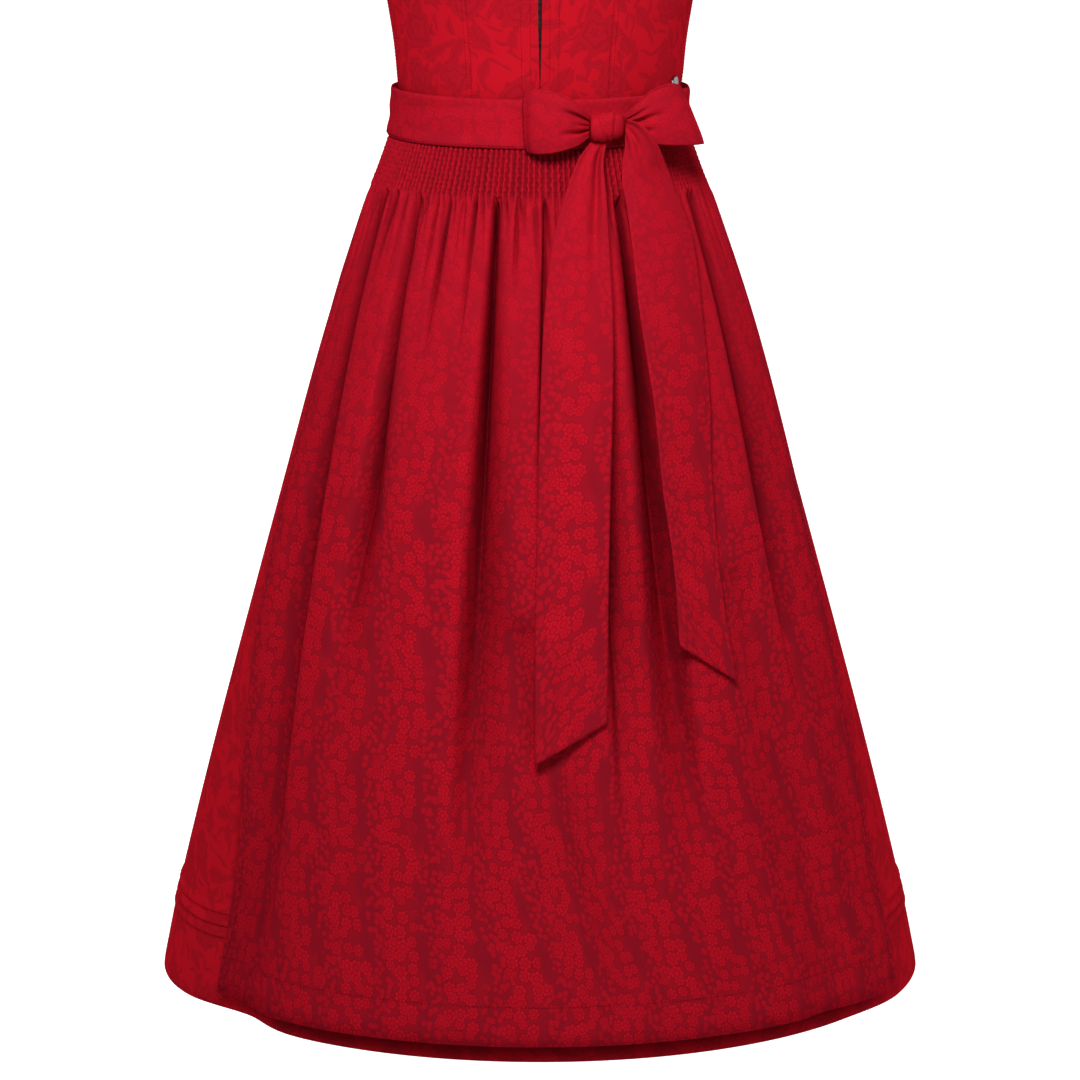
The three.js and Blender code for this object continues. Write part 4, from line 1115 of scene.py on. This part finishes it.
def build_apron():
    v, u = grid(76, SMOCK_PLEATS * 8)
    v = v**1.6
    z = mix(SMOCK_BOTTOM, APRON_HEM, v)
    angle = mix(*apron_edges(v), u)
    pleat, number = smock_pleats(u)
    run_out = 1 - smooth(0, 1, v / (0.012 + 0.028 * scatter(number, 2) ** 2))
    sunk = SMOCK_RELIEF * pleat * run_out + gathers(u, v, APRON_GATHERS, 3.0, 0.1, 0.4)
    ripple = 0.5 * np.sin(u * 61 + 3 * v + 1) * np.sin(u * 23 + 7 * v) * smooth(0.03, 0.2, v)
    turned = 0.6 * smooth(APRON_HEM + HEM_TURN + 1.5, APRON_HEM + HEM_TURN - 1.5, z)
    pucker = 0.35 * np.sin(u * 330) * bell((z - APRON_HEM - HEM_TURN) / 6)
    outer = apron_point(angle, z, ripple + turned + pucker - sunk)
    t = apron_share(z)
    folds = apron_folds(angle, t, z)
    places = arc_places(outer, APRON_CUT_WIDTH, folds / 20 + sunk / 3 + 0.03)
    # Painted shade: the panel darkens in its wide folds, in the valleys of the smocked pleats and
    # gathers at its top, in the clefts and in the hollow near the hem.
    wide = np.clip(folds / 26, 0, 1) ** 1.4 * (1 - 0.6 * smooth(0.3, 0.9, t))
    narrow = np.clip(sunk / 3.2, 0, 1) ** 2
    cleft_shade = np.maximum(
        fold_depth(FRONT_FOLDS, angle, t, z, True), fold_depth(SHORT_FOLDS, angle, t, z, True)
    )
    shade = 0.3 * wide + 0.36 * narrow + 0.66 * cleft_shade + 0.2 * hem_dent(angle, t) / DENT_DEPTH
    shade = np.clip(shade, 0, 0.88)
    cloth_piece(
        "apron_panel", outer, places, APRON,
        flat=(APRON_CUT_WIDTH * MM, APRON_CUT_LENGTH * MM),
        soft_edges="blr", shade=shade,
    )


def skirt_point(angle, z, out=0.0):
    t = apron_share(z)
    around = np.mod(angle + 90, 360) - 90
    lower = smooth(0.2, 0.6, t)
    covered = 1 - smooth(mix(*UNDER_INNER, lower), mix(*UNDER_OUTER, lower), np.abs(around))
    shown = mix(1, UNDER_AT_HEM, smooth(0.72, 1, t))
    under = UNDER_DEPTH * covered * smooth(-442, -515, z) * shown
    back = fold_depth(BACK_FOLDS, around, t, z) + fold_depth(BACK_FOLDS, around + 360, t, z)
    hanging = smooth(WAIST_Z - 30, WAIST_Z - 110, z)
    return on_ring(SKIRT, around, z, out - under - back * hanging - hem_dent(around, t))


def tuck_relief(z):
    """How far the tucks above the hem stand out."""
    total = 0.0
    for height in TUCK_EDGES:
        lower = HEM_Z + height
        total = np.maximum(total, TUCK_RELIEF * smooth(lower - 0.4, lower + 0.4, z)
                           * (1 - smooth(lower + 1, lower + TUCK_DEPTH, z)))
    return total


def skirt_panel(node, start, end, columns):
    top = WAIST_Z - SEAM_GAP / 2
    tucked = np.linspace(HEM_Z + 90, HEM_Z + 55, 60)
    levels = [np.linspace(top, HEM_Z + 91, 96), tucked, np.linspace(HEM_Z + 54, HEM_Z, 10)]
    levels = np.concatenate(levels)
    z, u = np.meshgrid(levels, np.linspace(0, 1, columns + 1), indexing="ij")
    angle = mix(start, end, u)
    down = (top - z) / (top - HEM_Z)
    from_seam = np.minimum(u, 1 - u) * (end - start) * math.pi / 180 * along(SKIRT, "z", "side", z)
    seam = -0.8 * bell(from_seam / 2)
    sunk = gathers(u, down, (end - start) / 4.5, 1.6, 0.16, 0.9)
    outer = skirt_point(angle, z, tuck_relief(z) + seam - sunk)
    places = arc_places(outer)
    places[..., 0] += start * 5
    right, left = apron_edges(1.0)
    beside = np.minimum(angle - right, left - angle)
    # Painted shadow of the apron's hem: the skirt darkens below it, most just under the hem, and
    # only where the apron covers it.
    shade = mix(0.2, 0.8, smooth(HEM_Z, APRON_HEM, z)) * (z < APRON_HEM + 40)
    shade = shade * smooth(-2, 8, beside)
    cloth_piece(
        node, outer, places, DRESS, soft_edges="tb", shade=shade,
    )


def build_skirt():
    skirt_panel("skirt_front", -90, 90, 170)
    skirt_panel("skirt_back_left", 90, 180, 112)
    skirt_panel("skirt_back_right", 180, 270, 112)


def build_smocking():
    v, u = grid(54, SMOCK_PLEATS * 8)
    z = mix(BAND_BOTTOM - SEAM_GAP, SMOCK_BOTTOM, v)
    angle = mix(APRON_EDGE["right"][0], APRON_EDGE["left"][0], u)
    rows_of_stitches = 0.5 + 0.5 * np.cos(FULL_TURN * v * SMOCK_ROWS)
    loose = smooth(0.93, 1, v)
    swing = 0.0014 * np.sin(v * math.pi * SMOCK_ROWS) * np.sin(u * 140) * (1 - loose)
    pleat, number = smock_pleats(u + swing)
    strength = mix(0.8 + 0.4 * scatter(number, 5), 1, loose)
    tied = 0.36 * rows_of_stitches**3 * (1 - loose) * (1 - pleat)
    sunk = SMOCK_RELIEF * strength * pleat + tied
    # Painted shade in the valleys of the pleats and along the rows of stitches.
    shade = np.clip(0.52 * pleat**1.5 + 0.12 * rows_of_stitches**3 * (1 - loose), 0, 0.7)
    outer = on_ring(SKIRT, angle, z, mix(5.6, apron_stand_off(SMOCK_BOTTOM), v) - sunk)
    places = arc_places(outer, APRON_CUT_WIDTH, pleat**3)
    cloth_piece(
        "apron_smocking", outer, places, APRON, TIE_CLOTH,
        soft_edges="tlr", shade=shade,
    )


# ---------------------------------------------------------------- waistband and tie


def band_stretch(node, start, end, stand_off, columns, crease, soft_edges="tb"):
    v, u = grid(24, columns)
    angle = mix(start, end, u)
    z = mix(BAND_TOP, BAND_BOTTOM, v)
    a = np.radians(angle)
    soft = crease * np.sin(v * 13 + a * 2.2) * np.sin(a * 3.1 + 0.5)
    near_knot = bell((angle - 4) / 14) + bell((angle - 48) / 16)
    soft = soft - crease * 1.6 * near_knot * bell((v - 0.42 - 0.012 * (angle - 26)) / 0.12)
    rolled = -0.7 * (bell(v / 0.05) + bell((1 - v) / 0.05))
    outer = on_ring(BAND_RING, angle, z, stand_off(angle) + soft + rolled)
    places = np.stack([(v - 0.5) * (BAND_TOP - BAND_BOTTOM), np.radians(angle) * CLOTH_RADIUS], -1)
    cloth_piece(
        node, outer, places, APRON, TIE_CLOTH, soft_edges=soft_edges
    )


def build_bands():
    right, left = APRON_EDGE["right"][0], APRON_EDGE["left"][0]
    lap, knot_angle = 8, 26.2

    def lapped(angle):
        return TIE_REACH * mix(1, 1.9, smooth(-168, -174, angle))

    band_stretch("apron_waistband", right, left, lambda angle: 0 * angle, 160, 0.0)
    band_stretch("tie_wrap_right", -180 - lap, knot_angle, lapped, 220, 0.5)
    band_stretch("tie_wrap_left", knot_angle, 180, lambda angle: TIE_REACH + 0 * angle, 160, 0.5)


# ---------------------------------------------------------------- bow


def ring_front(rows, x, z, out, least):
    """How far forward a ring's face lies at a place across, moved out from it."""
    side, front = along(rows, "z", "side", z) + out, along(rows, "z", "front", z) + out
    return -front * np.sqrt(np.maximum(least, 1 - (x / side) ** 2))


def tie_face(x, z):
    return ring_front(BAND_RING, x, z, TIE_REACH, 0.0)


def plain_front(x, z):
    return ring_front(SKIRT, x, z, apron_stand_off(z), 0.02)


def build_knot():
    """A short band wound over the bow from top to bottom, with a narrower fold beside it."""
    v, u = grid(64, 72)
    across, turn = 2 * v - 1, FULL_TURN * u
    rounded = (1 - np.abs(across) ** 4) ** 0.5 * 0.5 + 0.5
    groove = 0.17 * bell((across - 0.42) / 0.1)
    diagonal = 0.1 * bell((across + 0.22 + 0.34 * np.cos(turn)) / 0.1)
    second = 0.06 * bell((across + 0.66 + 0.16 * np.cos(turn)) / 0.07)
    reach = rounded * (1 - groove - diagonal - second) * (1 - 0.12 * smooth(0.42, 0.6, across))
    box_y = np.sign(np.sin(turn)) * np.abs(np.sin(turn)) ** 0.85
    box_z = np.sign(np.cos(turn)) * np.abs(np.cos(turn)) ** 0.95
    x = KNOT_X + KNOT_HALF_WIDTH * across + 1.2 * box_z * (1 - across**2)
    middle = tie_face(KNOT_X + KNOT_HALF_WIDTH * across, KNOT_Z) - KNOT_CLEAR - KNOT_DEPTH / 2
    y = middle - KNOT_DEPTH / 2 * box_y * reach
    z = KNOT_Z + KNOT_HALF_HEIGHT * box_z * reach
    points = np.stack([x, y, z], axis=-1)[:, :-1]
    rows, columns = points.shape[:2]
    ids = np.arange(rows * columns).reshape(rows, columns)
    after = np.roll(ids, -1, axis=1)
    faces = np.stack([ids[:-1], ids[1:], after[1:], after[:-1]], axis=-1).reshape(-1, 4)
    closed = faces.tolist() + [ids[0][::-1].tolist(), ids[-1].tolist()]
    places = np.stack([across * 14, turn * 14], axis=-1)[:, :-1].reshape(-1, 2)
    piece = mesh_piece("bow_knot_cloth", points.reshape(-1, 3), closed, APRON, places)
    outward_faces(piece)
    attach(piece, "garment")
    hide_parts("bow_knot")


def bow_loop(node, rows, side_sign, creases, corner):
    v, u = grid(48, 120)
    run = u if side_sign > 0 else 1 - u
    on_front = run < 0.5
    s = np.where(on_front, run * 2, (1 - run) * 2)
    turn = smooth(0.86, 1, s)
    height = 1 - 2 * v
    front, back = along(rows, "s", "front", s), along(rows, "s", "back", s)
    y = mix(np.where(on_front, front, back), (front + back) / 2, turn**2.5)
    bulge = (1 - height**2) * 3 * smooth(0, 0.4, s) * (1 - turn) * np.where(on_front, -1, 0)
    crease = 0.0
    for middle, depth, half, reach in creases:
        opening = half * (0.6 + s)
        run_out = 1 - smooth(reach * 0.3, reach, s)
        crease = crease + depth * bell((height - middle) / opening) * run_out
    crease = crease * smooth(-0.08, 0.1, s) * np.where(on_front, 1, 0.3)
    x = along(rows, "s", "x", s) - along(rows, "s", "lean", s) * height
    x = x - side_sign * corner * np.abs(height) ** 5 * smooth(0.55, 1, s)
    z = along(rows, "s", "z", s) + along(rows, "s", "half", s) * height
    outer = np.stack([x, y + bulge + crease, z], axis=-1)
    places = np.stack([height * 30, np.where(on_front, s, 2 - s) * 62], axis=-1)
    cloth_piece(node, outer, places, APRON, TIE_CLOTH)


def tail(node, rows, creases):
    v, u = grid(140, 32)
    right_x, left_x = along(rows, "s", "right_x", v), along(rows, "s", "left_x", v)
    right_z, left_z = along(rows, "s", "right_z", v), along(rows, "s", "left_z", v)
    x, z = mix(right_x, left_x, u), mix(right_z, left_z, u)
    rounded = 5 * u * (1 - u) * smooth(0, 0.06, v) * (1 - smooth(0.3, 0.8, v))
    lift = mix(along(rows, "s", "right_lift", v), along(rows, "s", "left_lift", v), u) + rounded
    pleat = 1.2 * np.cos(u * 12.5 + 1.2) * smooth(0, 0.02, v) * (1 - smooth(0.04, 0.2, v))
    for middle, depth, half, reach in creases:
        run_out = smooth(0, 0.02, v) * (1 - smooth(reach * 0.35, reach, v))
        pleat = pleat - depth * bell((u - middle) / half) * run_out
    outer = np.stack([x, plain_front(x, z) - lift - pleat, z], axis=-1)
    length = np.hypot(np.diff((right_x + left_x)[:, 0]) / 2, np.diff((right_z + left_z)[:, 0]) / 2)
    down = np.concatenate([[0], np.cumsum(length)])[:, None] + (right_z - left_z) * (0.5 - u)
    places = np.stack([(u - 0.5) * 61 + 0 * v, down], axis=-1)
    cloth_piece(node, outer, places, APRON, TIE_CLOTH)


def build_bow():
    build_knot()
    bow_loop("bow_loop_left", LEFT_LOOP, 1, LEFT_CREASES, 1.2)
    bow_loop("bow_loop_right", RIGHT_LOOP, -1, RIGHT_CREASES, 2.6)
    tail("tail_right", TAIL_RIGHT, ((0.74, 6.0, 0.1, 0.3), (0.3, 2.0, 0.16, 0.14)))
    tail("tail_left", TAIL_LEFT, ((0.52, 5.0, 0.11, 0.13), (0.8, 2.5, 0.12, 0.3)))


def apron_stitch_lines():
    """Rows of stitches at the apron's hem and sides, and along the lower edge of the band."""
    lines = []
    u = np.linspace(0.004, 0.996, 240)
    z = APRON_HEM + HEM_TURN
    t = apron_share(z)
    angle = mix(*apron_edges(t), u)
    lines.append(apron_point(angle, z, 0.75))
    for edge, inward in (("right", 1), ("left", -1)):
        z = np.linspace(SMOCK_BOTTOM - 25, APRON_HEM + 4, 160)
        angle = along(APRON_EDGE, "t", edge, apron_share(z))
        angle = angle + inward * np.degrees(9 / along(SKIRT, "z", "side", z))
        lines.append(apron_point(angle, z, 0.15))
    angle = np.linspace(-180, 180, 300)
    lines.append(on_ring(BAND_RING, angle, BAND_BOTTOM + 2.4, TIE_REACH + 0.15))
    return lines


# ---------------------------------------------------------------- studio

CAMERA_PLACE, CAMERA_DOWN, CAMERA_LENS = (0, -4.4, 0.152), 12, 169.2
FLOOR_Z, WALL_Y, STUDIO_REACH, WALL_CURVE = -1.40, 8.0, 22.0, 12    # the curve's steps


def build_studio():
    sweep = [(-STUDIO_REACH, FLOOR_Z), (WALL_Y - 1.0, FLOOR_Z)]
    for i in range(1, WALL_CURVE + 1):
        a = i / WALL_CURVE * math.pi / 2
        sweep.append((WALL_Y - 1.0 + math.sin(a), FLOOR_Z + 1 - math.cos(a)))
    sweep.append((WALL_Y, STUDIO_REACH))
    points = [(x, y, z) for y, z in sweep for x in (-STUDIO_REACH, STUDIO_REACH)]
    faces = [(2 * i, 2 * i + 1, 2 * i + 3, 2 * i + 2) for i in range(len(sweep) - 1)]
    mesh = bpy.data.meshes.new("floor")
    mesh.from_pydata(points, [], faces)
    mesh.polygons.foreach_set("use_smooth", [True] * len(mesh.polygons))
    tree = new_tree("floor_paint")
    place = tree.node("ShaderNodeTexCoord", {}, {}, out="Object")
    _, depth, _ = tree.split(place)
    grain = tree.noise(place, 3.0, 2.0)
    glow = tree.blend(depth.rise(-0.3, 0.5), (0.12, 0.12, 0.12, 1), (0.9, 0.9, 0.9, 1))
    tree.finish(
        Base_Color=tree.blend(grain * 0.2 + 0.5, rgb(236, 236, 236), rgb(230, 230, 230)),
        Roughness=0.9,
        Emission_Color=glow,
        Emission_Strength=1.0,
    )
    mesh.materials.append(tree.material)
    floor = put("floor", mesh)

    def softbox(name, place, target, size, power, spread):
        light = bpy.data.lights.new(name, "AREA")
        light.shape, light.size, light.size_y, light.energy = "RECTANGLE", size[0], size[1], power
        light.spread = math.radians(spread)
        lamp = put(name, light)
        lamp.location = place
        aim = [t - p for t, p in zip(target, place)]
        flat = math.hypot(aim[0], aim[1])
        lamp.rotation_euler = (math.atan2(flat, -aim[2]), 0, math.atan2(-aim[0], aim[1]))

    softbox("key", (-0.12, -1.6, 0.87), (0.03, 0, -0.28), (0.8, 0.8), 15.3, 105)
    softbox("fill", (2.2, -3.2, 0.6), (0, 0, -0.6), (1.4, 1.4), 10.5, 180)
    world = bpy.data.worlds.new("studio")
    world.use_nodes = True
    world.node_tree.nodes["Background"].inputs["Color"].default_value = (1, 1, 1, 1)
    world.node_tree.nodes["Background"].inputs["Strength"].default_value = 0.045
    bpy.context.scene.world = world
    bpy.context.scene.view_settings.view_transform = "Standard"


def build_camera():
    camera_data = bpy.data.cameras.new("camera")
    camera_data.sensor_width, camera_data.lens = 36, CAMERA_LENS
    camera_data.clip_end = 60
    camera = put("camera", camera_data)
    camera.location = CAMERA_PLACE
    camera.rotation_euler = (math.radians(90 - CAMERA_DOWN), 0, 0)
    bpy.context.scene.camera = camera


build_camera()
build_studio()
build_bodice()
build_zip()
build_slider()
build_pull_tab()
build_tag()
stitches("dress_stitches", bodice_stitch_lines(), DRESS_THREAD_AND_SHADE)
stitches("apron_stitches", apron_stitch_lines(), APRON_THREAD_AND_SHADE, 3.4)
build_skirt()
build_apron()
build_smocking()
build_bands()
build_bow()
